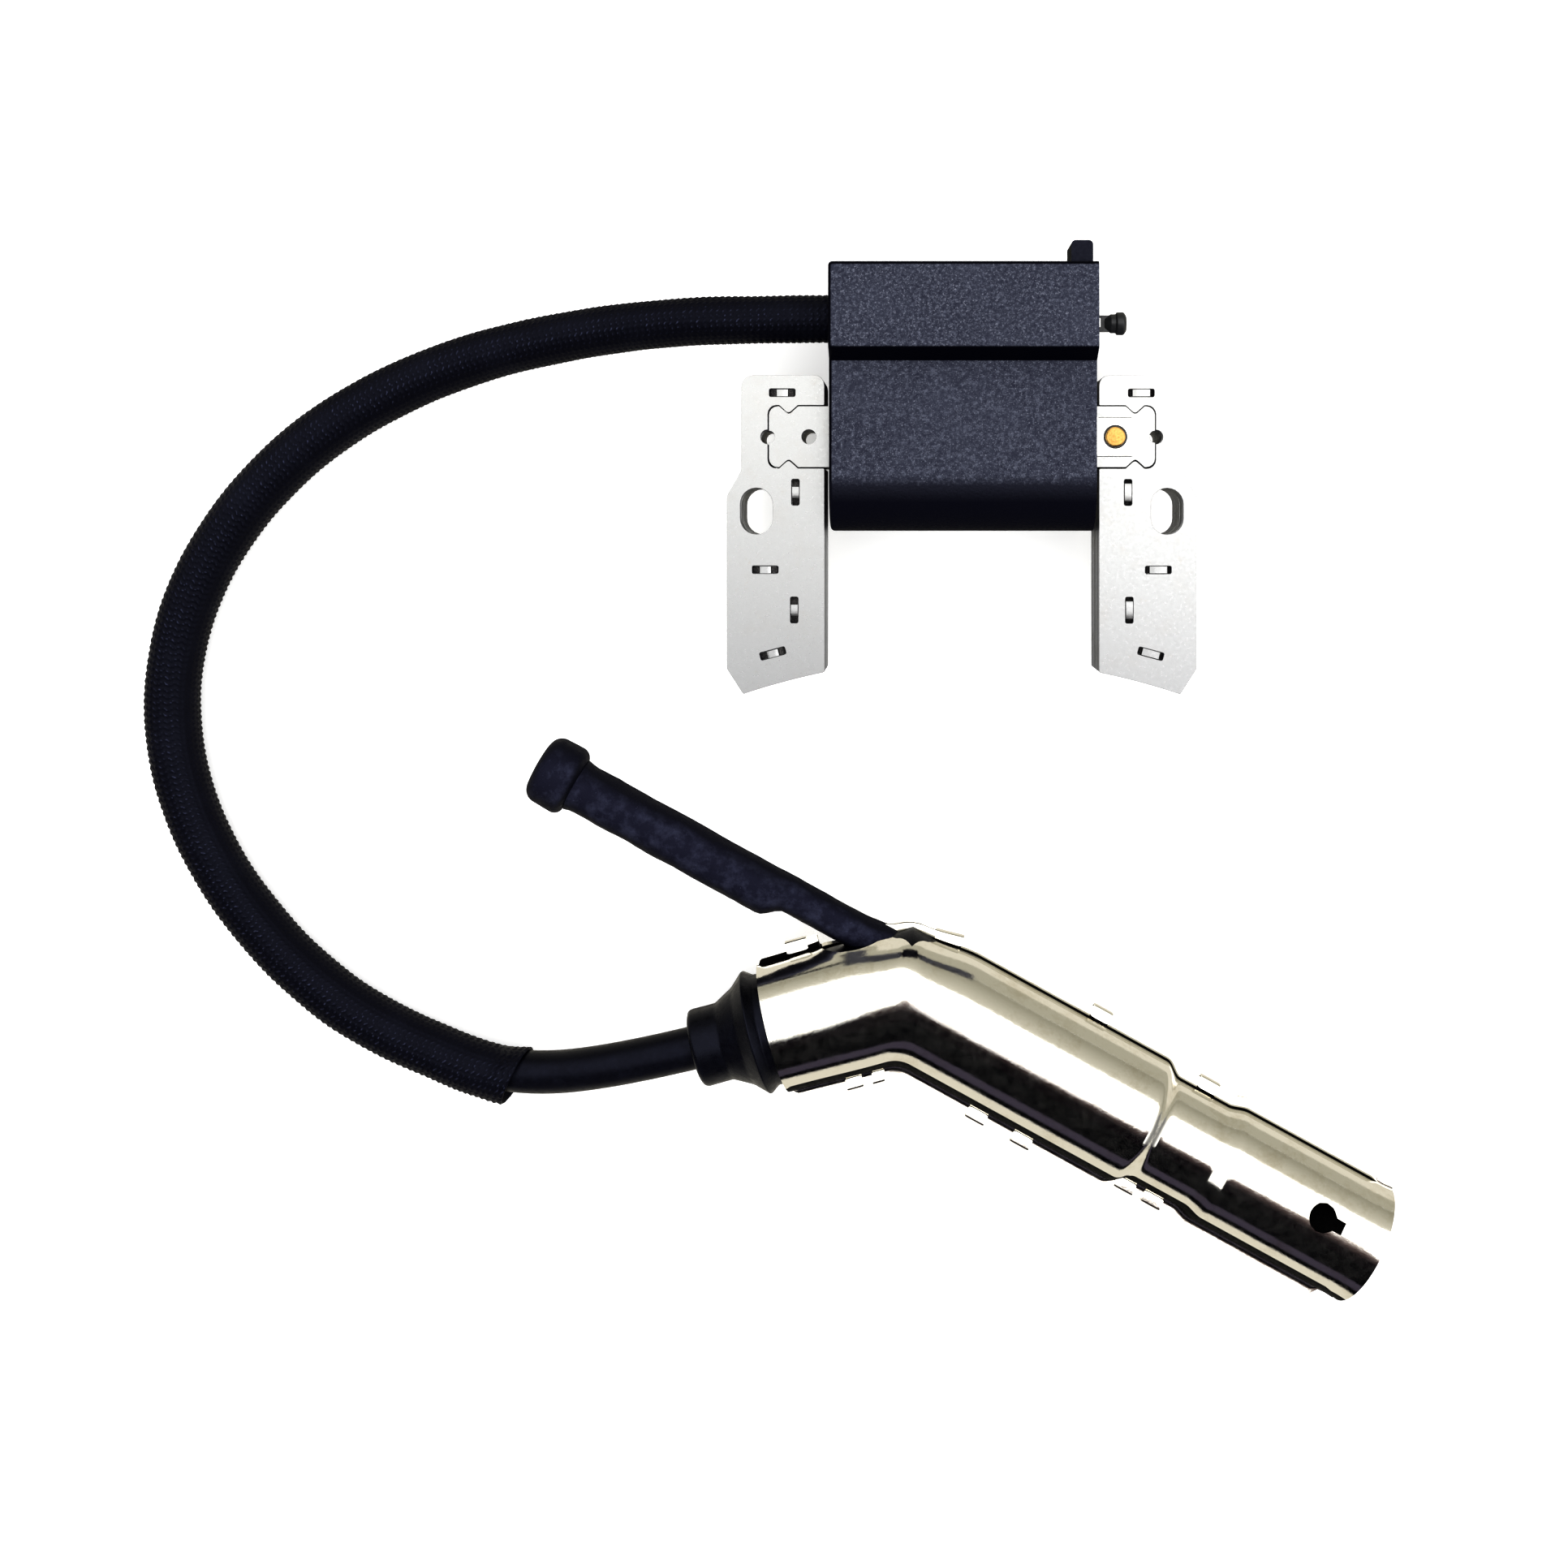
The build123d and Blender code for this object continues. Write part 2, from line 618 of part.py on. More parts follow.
BOOT_R = SHIELD_LEAD_R - SHIELD_WALL - 0.1
BOOT_NECK_R = SHIELD_NECK_R - SHIELD_WALL - 0.15
RESISTOR_FROM = 4.6
RESISTOR_TO = 18.6
RESISTOR_R = 2.5
SPRING_TO = 24.4
SPRING_R = 2.0
SPRING_WIRE_R = 0.3
CUP_POCKET_R = 4.9
CUP_R = 4.2
CUP_BORE_R = 3.25


def boot_blank():
    """The rubber elbow's outer form."""
    plug_stations = [
        (-OVERRUN, BOOT_R),
        (NECK_FROM - 0.6, BOOT_R),
        (NECK_FULL - 0.4, BOOT_NECK_R),
        (BOOT_END, BOOT_NECK_R),
    ]
    return elbow_solid(plug_stations, [(-OVERRUN, BOOT_R), (SEAL_INNER, BOOT_R)])


def cap_boot(buried):
    boot = boot_blank()
    boot -= on_plug_axis(rod_x(PLUG_BORE_R, PLUG_BORE_FROM, BOOT_END + 1))
    boot -= on_plug_axis(rod_x(CUP_POCKET_R, SPRING_TO, PLUG_BORE_FROM + 0.5))
    boot -= on_plug_axis(rod_x(SPRING_R + SPRING_WIRE_R + 0.2, RESISTOR_TO, SPRING_TO + 0.5))
    boot -= on_lead_axis(rod_x(LEAD_R, LEAD_STOPS, SEAL_INNER + 1))
    for piece in buried:
        boot -= piece
    return boot


def cable_seal():
    """Rubber grommet between lead and shield: lip, flare, cone and collar."""
    seal = turned([
        (SEAL_INNER, 9.1),
        (SEAL_FLARE - 1.0, 9.1),
        (SEAL_FLARE, 10.15),
        (SEAL_CONE_END, 6.4),
        (SEAL_CONE_END + 0.4, 6.3),
        (SEAL_END - 0.5, 6.3),
        (SEAL_END, 5.8),
    ])
    return on_lead_axis(seal - rod_x(LEAD_R, SEAL_INNER - 1, SEAL_END + 1))


def elbow_terminal():
    """Brass elbow: a screw that enters the lead and a post that meets the resistor."""
    screw_tip = LEAD_STOPS + 12.0
    screw = turned([
        (-1.0, 1.6), (LEAD_STOPS - 1.5, 1.6), (LEAD_STOPS - 1.5, 3.0), (LEAD_STOPS, 3.0),
        (LEAD_STOPS, CONDUCTOR_R), (screw_tip, CONDUCTOR_R),
    ])
    post = rod_x(2.6, -1.5, RESISTOR_FROM)
    return on_lead_axis(screw) + on_plug_axis(post)


def suppressor_resistor():
    body = turned([
        (RESISTOR_FROM, RESISTOR_R), (RESISTOR_FROM + 2, RESISTOR_R), (RESISTOR_FROM + 2, RESISTOR_R - 0.3),
        (RESISTOR_TO - 2, RESISTOR_R - 0.3), (RESISTOR_TO - 2, RESISTOR_R), (RESISTOR_TO, RESISTOR_R),
    ])
    return on_plug_axis(body)


def contact_spring():
    """Coil spring that presses the resistor against the plug terminal."""
    first, last = RESISTOR_TO + SPRING_WIRE_R, SPRING_TO - SPRING_WIRE_R
    turns = 4
    helix = Helix((last - first) / turns, last - first, SPRING_R)
    section = Plane(origin=helix @ 0, z_dir=helix % 0) * Circle(SPRING_WIRE_R)
    wire = sweep(section, path=helix, is_frenet=True)
    return on_plug_axis(Pos(first, 0, 0) * Rot(0, 90, 0) * wire)


def plug_terminal():
    """Slotted brass cup that snaps over the plug's terminal nut."""
    cup = rod_x(CUP_POCKET_R, SPRING_TO, SPRING_TO + 1.4)
    cup += rod_x(CUP_R, SPRING_TO + 1.4, 35.4)
    cup -= rod_x(CUP_BORE_R, SPRING_TO + 1.4, 36)
    cup -= block(28, 36, -0.5, 0.5, -6, 6)
    return on_plug_axis(cup)


def terminal_clip():
    """Wire ring, open at the top, that closes the cup's fingers."""
    wire_r = 0.3
    ring = Torus(CUP_R + wire_r, wire_r)
    ring -= block(0, 6, -1.2, 1.2, -1, 1)
    return on_plug_axis(Pos(32.5, 0, 0) * Rot(0, -90, 0) * ring)


# ---------------------------------------------------------------- pull handle

def handle_pivot():
    return Pos(HANDLE_PIVOT, HANDLE_THIN_Y, 0)


def handle_root(boot):
    """The handle's fixed stub on the boot, ending in a ball on the flexing point."""
    stub = rod_x(HANDLE_THIN_R, HANDLE_PIVOT, -4.0, HANDLE_THIN_Y)
    stub += handle_pivot() * Sphere(HANDLE_THIN_R)
    return on_plug_axis(stub) - boot


def pull_handle():
    """Rubber rod with a knob; its upper side is one straight line."""
    thin_face = Pos(HANDLE_STEP, HANDLE_THIN_Y, 0) * Rot(0, 90, 0) * Circle(HANDLE_THIN_R)
    thick_face = Pos(HANDLE_THICK_FROM, HANDLE_THICK_Y, 0) * Rot(0, 90, 0) * Circle(HANDLE_THICK_R)
    rod = rod_x(HANDLE_THIN_R, HANDLE_STEP, HANDLE_PIVOT, HANDLE_THIN_Y)
    rod += loft([thick_face, thin_face])
    rod += rod_x(HANDLE_THICK_R, HANDLE_KNOB_FROM - 1, HANDLE_THICK_FROM, HANDLE_THICK_Y)
    knob = rod_x(HANDLE_KNOB_R, HANDLE_END, HANDLE_KNOB_FROM, HANDLE_THICK_Y)
    knob = fillet(knob.edges().filter_by(GeomType.CIRCLE), 2.0)
    rod += knob
    rod -= handle_pivot() * Sphere(HANDLE_THIN_R + BALL_GAP)
    return on_plug_axis(rod)


# ---------------------------------------------------------------- assembly

def main():
    bar = core_bar()
    bar_blank = Pos(0, 0, CORE_BACK - 1) * extrude(bar_outline(), CORE_THICK + 2)
    leg = right_leg(bar_blank)
    save(bar, "core_bar")
    save(leg, "right_core_leg")
    save(mirror(leg, Plane.YZ), "left_core_leg")

    strap = ground_strap()
    conductor, insulation, sleeve = lead_pieces()
    sealed = {
        "primary_bobbin": primary_bobbin(),
        "primary_winding": primary_winding(),
        "secondary_bobbin": secondary_bobbin(),
        "secondary_winding": secondary_winding(),
        "circuit_board": circuit_board(),
        "switching_transistor": switching_transistor(),
        "board_resistors": board_resistors(),
        "trigger_capacitor": trigger_capacitor(),
        "clamp_diode": clamp_diode(),
        "hv_terminal": hv_terminal(),
        "kill_terminal": kill_terminal(),
    }
    for name, piece in sealed.items():
        save(piece, name)
    save(coil_housing(), "coil_housing")
    save(potting_resin([*sealed.values(), strap]), "potting_resin")
    save(kill_terminal_cap() - sealed["kill_terminal"], "kill_terminal_cap")
    save(strap, "ground_strap")
    save(ground_rivet(), "ground_rivet")

    save(conductor, "lead_conductor")
    save(insulation, "lead_insulation")
    save(sleeve, "braided_sleeve")

    front, rear = shield_halves()
    save(front, "shield_front_half")
    save(rear, "shield_rear_half")
    terminal = elbow_terminal()
    resistor = suppressor_resistor()
    boot = cap_boot([terminal, resistor])
    save(terminal, "elbow_terminal")
    save(resistor, "suppressor_resistor")
    save(contact_spring(), "contact_spring")
    save(plug_terminal(), "plug_terminal")
    save(terminal_clip(), "terminal_clip")
    save(boot, "cap_boot")
    save(cable_seal(), "cable_seal")
    save(handle_root(boot_blank()), "handle_root")
    save(pull_handle(), "pull_handle")


main()
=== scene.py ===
"""The looks of a small-engine ignition coil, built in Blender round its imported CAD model.

Lengths are in millimetres until a mesh is made, in the CAD model's own frame: +X across the core's
two legs, +Y towards the wire-guide lug, +Z towards the camera, and the bench at z = 0.
"""

import json
import math
import random

import bmesh
import bpy
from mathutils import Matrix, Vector, noise


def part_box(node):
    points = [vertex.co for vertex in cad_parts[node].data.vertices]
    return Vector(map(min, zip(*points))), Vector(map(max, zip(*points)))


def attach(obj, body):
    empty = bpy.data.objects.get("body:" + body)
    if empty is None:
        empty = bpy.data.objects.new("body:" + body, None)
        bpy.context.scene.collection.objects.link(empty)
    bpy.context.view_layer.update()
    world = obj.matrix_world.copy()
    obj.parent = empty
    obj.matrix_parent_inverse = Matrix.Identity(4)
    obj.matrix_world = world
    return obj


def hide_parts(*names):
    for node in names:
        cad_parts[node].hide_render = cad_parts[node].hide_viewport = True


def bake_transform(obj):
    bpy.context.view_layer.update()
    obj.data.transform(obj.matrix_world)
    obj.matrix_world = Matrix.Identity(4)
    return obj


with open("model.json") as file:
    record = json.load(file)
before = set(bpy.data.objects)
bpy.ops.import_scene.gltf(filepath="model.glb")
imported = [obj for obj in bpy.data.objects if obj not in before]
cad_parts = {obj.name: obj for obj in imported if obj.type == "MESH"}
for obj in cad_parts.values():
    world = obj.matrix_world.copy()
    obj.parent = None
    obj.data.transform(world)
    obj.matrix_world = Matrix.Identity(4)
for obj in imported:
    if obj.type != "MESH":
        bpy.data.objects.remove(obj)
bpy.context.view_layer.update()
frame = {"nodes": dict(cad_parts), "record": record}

MM = 0.001
MOUNTS = {mount["name"]: mount for mount in frame["record"]["mounts"]}
UP = Vector((0, 0, 1))


def linked(name, data):
    """A new object in the scene."""
    obj = bpy.data.objects.new(name, data)
    bpy.context.scene.collection.objects.link(obj)
    return obj


# ---------------------------------------------------------------- camera

CAMERA_AT = (-8.4, -7.9, 320.0)
LENS = 43.04
CENTRE_SHIFT = (-0.0797, -0.1687)

camera = linked("camera", bpy.data.cameras.new("camera"))
camera.location = Vector(CAMERA_AT) * MM
camera.data.lens = LENS
camera.data.sensor_width = 36
camera.data.shift_x, camera.data.shift_y = CENTRE_SHIFT
camera.data.clip_start = 0.01
bpy.context.scene.camera = camera


# ---------------------------------------------------------------- mesh helpers

def span(node):
    """A CAD node's lowest and highest corner, in millimetres."""
    low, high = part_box(node)
    return low / MM, high / MM


def corner(before, here, after, radius, steps):
    """The arc that rounds one corner of a plane outline."""
    to_before = (before - here).normalized()
    to_after = (after - here).normalized()
    half = to_before.angle(to_after) / 2
    reach = radius / math.tan(half)
    centre = here + (to_before + to_after).normalized() * (radius / math.sin(half))
    first = here + to_before * reach - centre
    last = here + to_after * reach - centre
    start = math.atan2(first.y, first.x)
    turn = (math.atan2(last.y, last.x) - start + math.pi) % (2 * math.pi) - math.pi
    angles = [start + turn * k / steps for k in range(steps + 1)]
    return [(centre.x + radius * math.cos(a), centre.y + radius * math.sin(a)) for a in angles]


def rounded(corners, closed=True, steps=6):
    """An outline from (x, y, corner radius) corners."""
    points = []
    for i, (x, y, radius) in enumerate(corners):
        at_end = not closed and i in (0, len(corners) - 1)
        if radius == 0 or at_end:
            points.append((x, y))
            continue
        before = Vector(corners[i - 1][:2])
        after = Vector(corners[(i + 1) % len(corners)][:2])
        points += corner(before, Vector((x, y)), after, radius, steps)
    return points


def circle(x, y, radius, steps=32):
    angles = [2 * math.pi * k / steps for k in range(steps)]
    return [(x + radius * math.cos(a), y + radius * math.sin(a)) for a in angles]


def turned(px, py, degrees, x, y):
    """A point turned about the origin and then moved to (x, y)."""
    angle = math.radians(degrees)
    return x + px * math.cos(angle) - py * math.sin(angle), y + px * math.sin(angle) + py * math.cos(angle)


def stadium(x, y, length, width, turn, steps=12):
    """A slot's outline, its length along X before it is turned, in degrees."""
    reach, radius = (length - width) / 2, width / 2
    points = []
    for end in (0, 1):
        for k in range(steps + 1):
            a = math.pi * (end + k / steps) - math.pi / 2
            px = (reach if end == 0 else -reach) + radius * math.cos(a)
            points.append(turned(px, radius * math.sin(a), turn, x, y))
    return points


class Shape:
    """Points and faces that grow into one mesh."""

    def __init__(self):
        self.points = []
        self.faces = []

    def add(self, points, faces):
        base = len(self.points)
        self.points += [tuple(p) for p in points]
        self.faces += [tuple(base + i for i in face) for face in faces]

    def rings(self, rings, closed=True, caps=True):
        """Quads from ring to ring, with both ends closed by a face."""
        count = len(rings[0])
        columns = count if closed else count - 1
        faces = []
        for r in range(len(rings) - 1):
            for c in range(columns):
                d = (c + 1) % count
                faces.append((r * count + c, r * count + d, (r + 1) * count + d, (r + 1) * count + c))
        if caps:
            last = (len(rings) - 1) * count
            faces.append(tuple(reversed(range(count))))
            faces.append(tuple(range(last, last + count)))
        self.add([p for ring in rings for p in ring], faces)

    def plate(self, loops, low, high, edge=0.04):
        """A flat plate between two heights with softened edges. The first loop is its outline."""
        curve = bpy.data.curves.new("plate", "CURVE")
        curve.dimensions = "2D"
        curve.fill_mode = "BOTH"
        curve.extrude = (high - low) / 2 - edge
        curve.bevel_depth = edge
        curve.bevel_resolution = 1
        curve.offset = -edge
        for loop in loops:
            spline = curve.splines.new("POLY")
            spline.points.add(len(loop) - 1)
            for point, (x, y) in zip(spline.points, loop):
                point.co = (x, y, 0, 1)
            spline.use_cyclic_u = True
        holder = bpy.data.objects.new("plate", curve)
        mesh = bpy.data.meshes.new_from_object(holder)
        middle = (low + high) / 2
        points = [(v.co.x, v.co.y, v.co.z + middle) for v in mesh.vertices]
        self.add(points, [tuple(p.vertices) for p in mesh.polygons])
        bpy.data.objects.remove(holder)
        bpy.data.curves.remove(curve)
        bpy.data.meshes.remove(mesh)


def dress(obj, material, body, nodes):
    """What every new piece needs: a material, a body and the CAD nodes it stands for."""
    obj.data.materials.clear()
    obj.data.materials.append(material)
    if nodes:
        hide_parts(*nodes)
    if body:
        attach(obj, body)
    return obj


def piece(name, shape, material, nodes=(), body="coil", sharp=38.0, weld=0.002, level=False):
    """A mesh piece from a Shape, shaded smoothly except where its faces turn sharply, or are level."""
    mesh = bpy.data.meshes.new(name)
    mesh.from_pydata([tuple(c * MM for c in p) for p in shape.points], [], shape.faces)
    bm = bmesh.new()
    bm.from_mesh(mesh)
    bmesh.ops.remove_doubles(bm, verts=bm.verts, dist=weld * MM)
    bmesh.ops.recalc_face_normals(bm, faces=bm.faces)
    bm.to_mesh(mesh)
    bm.free()
    mesh.shade_smooth()
    mesh.set_sharp_from_angle(angle=math.radians(sharp))
    for face in mesh.polygons:
        if level and abs(face.normal.z) > 0.999:
            face.use_smooth = False
    return dress(linked(name, mesh), material, body, nodes)


def second_finish(obj, material, chosen):
    """Give some faces another material. Chosen is asked about each face."""
    obj.data.materials.append(material)
    for face in obj.data.polygons:
        if chosen(face):
            face.material_index = 1


# ---------------------------------------------------------------- materials

class Paint:
    """A Principled material and short ways to add detail to it."""

    def __init__(self, name, colour, roughness, metallic=0.0, specular=0.5, coat=0.0, sheen=(1, 1, 1)):
        self.material = bpy.data.materials.new(name)
        self.material.use_nodes = True
        self.tree = self.material.node_tree
        self.shader = self.tree.nodes["Principled BSDF"]
        self.shader.inputs["Base Color"].default_value = (*colour, 1)
        self.shader.inputs["Roughness"].default_value = roughness
        self.shader.inputs["Metallic"].default_value = metallic
        self.shader.inputs["Specular IOR Level"].default_value = specular
        self.shader.inputs["Coat Weight"].default_value = coat
        self.shader.inputs["Specular Tint"].default_value = (*sheen, 1)
        self.place = self.node("ShaderNodeTexCoord").outputs["Object"]

    def node(self, kind, **settings):
        made = self.tree.nodes.new(kind)
        for key, value in settings.items():
            setattr(made, key, value)
        return made

    def link(self, source, target):
        self.tree.links.new(source, target)

    def grain(self, size, detail=3.0, stretch=(1, 1, 1), roughness=0.5):
        """Noise whose features are about this many millimetres across."""
        place = self.node("ShaderNodeMapping")
        place.inputs["Scale"].default_value = stretch
        self.link(self.place, place.inputs["Vector"])
        texture = self.node("ShaderNodeTexNoise")
        texture.inputs["Scale"].default_value = 1 / (size * MM)
        texture.inputs["Detail"].default_value = detail
        texture.inputs["Roughness"].default_value = roughness
        self.link(place.outputs["Vector"], texture.inputs["Vector"])
        return texture.outputs["Fac"]

    def coordinate(self, axis):
        """The object's own X, Y or Z, in metres."""
        parts = self.node("ShaderNodeSeparateXYZ")
        self.link(self.place, parts.inputs[0])
        return parts.outputs[axis]

    def span(self, source, low, high, to_low=0.0, to_high=1.0):
        """Stretch a value from one range to another, clamped."""
        node = self.node("ShaderNodeMapRange")
        for key, value in zip(("From Min", "From Max", "To Min", "To Max"), (low, high, to_low, to_high)):
            node.inputs[key].default_value = value
        self.link(source, node.inputs["Value"])
        return node.outputs["Result"]

    def math(self, operation, first, second):
        node = self.node("ShaderNodeMath", operation=operation)
        for slot, value in zip(node.inputs, (first, second)):
            if isinstance(value, (int, float)):
                slot.default_value = value
            else:
                self.link(value, slot)
        return node.outputs[0]

    def tint(self, factor, colour):
        """Mix another colour in where factor is high."""
        mix = self.node("ShaderNodeMix", data_type="RGBA")
        target = self.shader.inputs["Base Color"]
        if target.is_linked:
            self.link(target.links[0].from_socket, mix.inputs["A"])
        else:
            mix.inputs["A"].default_value = target.default_value
        mix.inputs["B"].default_value = (*colour, 1)
        self.link(factor, mix.inputs["Factor"])
        self.link(mix.outputs["Result"], target)
        return self

    def rough(self, factor, low, high):
        self.link(self.span(factor, 0.3, 0.7, low, high), self.shader.inputs["Roughness"])
        return self

    def bump(self, factor, depth):
        """Relief this many millimetres deep, added to what is there."""
        node = self.node("ShaderNodeBump")
        node.inputs["Strength"].default_value = 1.0
        node.inputs["Distance"].default_value = depth * MM
        self.link(factor, node.inputs["Height"])
        target = self.shader.inputs["Normal"]
        if target.is_linked:
            self.link(target.links[0].from_socket, node.inputs["Normal"])
        self.link(node.outputs["Normal"], target)
        return self

    def tilt(self, steep, level):
        """From 0 where a face is steep to 1 where it faces up, by the height of its normal."""
        parts = self.node("ShaderNodeSeparateXYZ")
        self.link(self.node("ShaderNodeTexCoord").outputs["Normal"], parts.inputs[0])
        return self.span(parts.outputs["Z"], steep, level)


BLUISH = (0.66, 0.70, 1.0)


def housing_plastic():
    """Spark-eroded where it faces up. Painted shade makes faces turned away and the nose nearly black, and
    the lug is nearly black too.
    """
    paint = Paint("housing_plastic", (0.026, 0.0285, 0.042), 0.5, specular=0.25, sheen=BLUISH)
    speck = paint.grain(0.55, detail=3, roughness=0.7)
    fine = paint.grain(0.24, detail=2, roughness=0.6)
    paint.tint(paint.span(speck, 0.50, 0.70), (0.095, 0.102, 0.135))
    paint.tint(paint.span(fine, 0.58, 0.74), (0.22, 0.23, 0.28))
    paint.tint(paint.span(speck, 0.47, 0.30), (0.008, 0.008, 0.018))
    paint.tint(paint.span(paint.grain(9.0), 0.45, 0.8, 0, 0.3), (0.055, 0.060, 0.085))
    # Painted shade: faces that turn away from the top are darkened to near black.
    turned_away_shade = paint.tilt(0.985, 0.90)
    paint.tint(turned_away_shade, (0.0015, 0.0015, 0.004))
    # Painted shade along the nose's ragged lower edge. The lug is darkened to near black as well.
    across = paint.coordinate("Y")
    ragged = paint.math("ADD", across, paint.math("MULTIPLY", speck, 0.002))
    nose = paint.span(ragged, 0.0, -0.0016)
    lug = paint.span(across, 0.0314, 0.0319)
    paint.tint(paint.math("MAXIMUM", nose, lug), (0.0035, 0.0035, 0.008))
    # Gloss is turned down where the faces turn away, so the painted shade stays dark.
    paint.link(paint.span(turned_away_shade, 0, 1, 0.3, 0.02), paint.shader.inputs["Specular IOR Level"])
    paint.rough(speck, 0.42, 0.66)
    paint.bump(speck, 0.11)
    paint.bump(fine, 0.06)
    return paint.material


def core_steel():
    """Bare electrical steel: a fine rolled grain, faint rust, and painted shade darkening it towards the
    poles.
    """
    paint = Paint("core_steel", (0.515, 0.517, 0.51), 0.3, metallic=0.92)
    fine = paint.grain(0.22, detail=4, roughness=0.8)
    paint.tint(paint.span(fine, 0.50, 0.72, 0, 0.7), (0.43, 0.435, 0.44))
    stain = paint.grain(3.5, detail=5, roughness=0.7)
    paint.tint(paint.span(stain, 0.50, 0.72, 0, 0.5), (0.48, 0.468, 0.445))
    # Painted shade: darker towards the poles, down the Y axis.
    paint.tint(paint.span(paint.coordinate("Y"), 0.012, -0.038, 0, 0.6), (0.27, 0.273, 0.285))
    rust = paint.math("MULTIPLY", paint.span(paint.grain(2.2, detail=6, roughness=0.75), 0.62, 0.74), 0.3)
    paint.tint(rust, (0.33, 0.26, 0.19))
    paint.rough(paint.grain(0.5, detail=3), 0.26, 0.38)
    paint.bump(paint.grain(0.18, detail=3, roughness=0.8), 0.006)
    return paint.material


def cut_edge():
    """The sheared edges of the sheets: darker, with up-and-down shear marks."""
    paint = Paint("cut_edge", (0.11, 0.115, 0.15), 0.42, metallic=0.7)
    marks = paint.grain(0.35, detail=4, stretch=(1, 1, 0.08), roughness=0.7)
    paint.tint(paint.span(marks, 0.45, 0.7, 0, 0.7), (0.24, 0.25, 0.31))
    paint.tint(paint.span(paint.grain(4.0, detail=4), 0.5, 0.7, 0, 0.6), (0.04, 0.038, 0.042))
    paint.rough(marks, 0.34, 0.5)
    paint.bump(marks, 0.015)
    return paint.material


# Near black, standing for painted shade in hollows: the interlocks' ends and sides, the ring round the rivet
# and the line along the strap's edges.
def painted_shade_black():
    paint = Paint("painted_shade_black", (0.030, 0.028, 0.028), 0.45, metallic=0.7)
    paint.tint(paint.span(paint.grain(0.2, detail=4), 0.5, 0.7, 0, 0.7), (0.15, 0.145, 0.14))
    paint.bump(paint.grain(0.15, detail=3), 0.01)
    return paint.material


def shield_steel():
    paint = Paint("shield_steel", (0.88, 0.86, 0.80), 0.06, metallic=1.0)
    stain = paint.span(paint.grain(5.5, detail=6, roughness=0.72), 0.50, 0.72, 0, 0.5)
    paint.tint(stain, (0.62, 0.56, 0.43))
    pits = paint.span(paint.grain(0.6, detail=5, roughness=0.8), 0.66, 0.76, 0, 0.5)
    paint.tint(pits, (0.40, 0.35, 0.28))
    paint.rough(paint.grain(1.6, detail=5, roughness=0.7), 0.04, 0.14)
    paint.bump(paint.grain(7.0, detail=2), 0.04)
    paint.bump(paint.grain(0.9, detail=5, roughness=0.7), 0.012)
    paint.bump(paint.grain(0.3, detail=2), 0.0035)
    return paint.material


def tinned_sheet():
    paint = Paint("tinned_sheet", (0.78, 0.77, 0.74), 0.2, metallic=1.0)
    paint.tint(paint.span(paint.grain(0.8, detail=5), 0.5, 0.75, 0, 0.5), (0.52, 0.50, 0.46))
    paint.rough(paint.grain(0.5, detail=4), 0.16, 0.34)
    paint.bump(paint.grain(0.4, detail=4), 0.01)
    return paint.material


def brass():
    paint = Paint("rivet_brass", (0.50, 0.31, 0.10), 0.25, metallic=1.0)
    paint.tint(paint.span(paint.grain(0.5, detail=5), 0.48, 0.7, 0, 0.6), (0.36, 0.175, 0.04))
    paint.rough(paint.grain(0.35, detail=3), 0.16, 0.36)
    paint.bump(paint.grain(0.3, detail=3), 0.02)
    return paint.material


def rubber(name, colour, dust, roughness, depth, specular, size=0.5):
    """Moulded rubber with a little dust and scuffing, and painted shade on faces turned away from the top.
    """
    paint = Paint(name, colour, roughness, specular=specular, sheen=BLUISH)
    paint.tint(paint.span(paint.grain(size * 6, detail=6, roughness=0.7), 0.46, 0.74, 0, 0.8), dust)
    scuff = paint.span(paint.grain(size, detail=5, roughness=0.8), 0.62, 0.74, 0, 0.6)
    paint.tint(scuff, tuple(min(1.0, c * 2.2) for c in dust))
    # Painted shade: faces that turn away from the top are darker.
    paint.tint(paint.tilt(0.93, 0.55), tuple(c * 0.4 for c in colour))
    paint.rough(paint.grain(size * 2, detail=4), roughness - 0.08, roughness + 0.12)
    paint.bump(paint.grain(size, detail=4, roughness=0.7), depth)
    return paint.material


def braid_yarn():
    """Black yarn with a painted highlight where its raised strands face up."""
    paint = Paint("braid_yarn", (0.0022, 0.0022, 0.0055), 0.5, specular=0.13, sheen=BLUISH)
    strands = paint.node("ShaderNodeAttribute", attribute_name="strand").outputs["Fac"]
    # Painted highlight: raised strands facing up are lightened, patchily.
    glint = paint.math("MULTIPLY", paint.span(strands, 0.45, 0.9), paint.tilt(0.80, 0.97))
    patchy = paint.span(paint.grain(1.4, detail=4, roughness=0.7), 0.42, 0.62, 0.1, 1.0)
    paint.tint(paint.math("MULTIPLY", glint, patchy), (0.050, 0.056, 0.105))
    paint.tint(paint.span(paint.grain(7.0, detail=4), 0.5, 0.75, 0, 0.4), (0.006, 0.0065, 0.013))
    paint.rough(paint.grain(0.3), 0.34, 0.56)
    paint.bump(paint.grain(0.12, detail=2), 0.03)
    return paint.material


def resin_black():
    paint = Paint("resin_black", (0.010, 0.0105, 0.012), 0.16, specular=0.55)
    paint.rough(paint.grain(2.5, detail=4), 0.1, 0.3)
    paint.bump(paint.grain(5.0, detail=3), 0.12)
    paint.bump(paint.grain(0.5, detail=3), 0.01)
    return paint.material


def moulded(name, colour, roughness=0.5, specular=0.5):
    """A plain moulded or lacquered part."""
    paint = Paint(name, colour, roughness, specular=specular)
    paint.tint(paint.span(paint.grain(1.2, detail=5), 0.45, 0.75, 0, 0.4), tuple(c * 0.6 for c in colour))
    paint.rough(paint.grain(0.6, detail=3), roughness - 0.1, roughness + 0.1)
    paint.bump(paint.grain(0.25, detail=3), 0.01)
    return paint.material


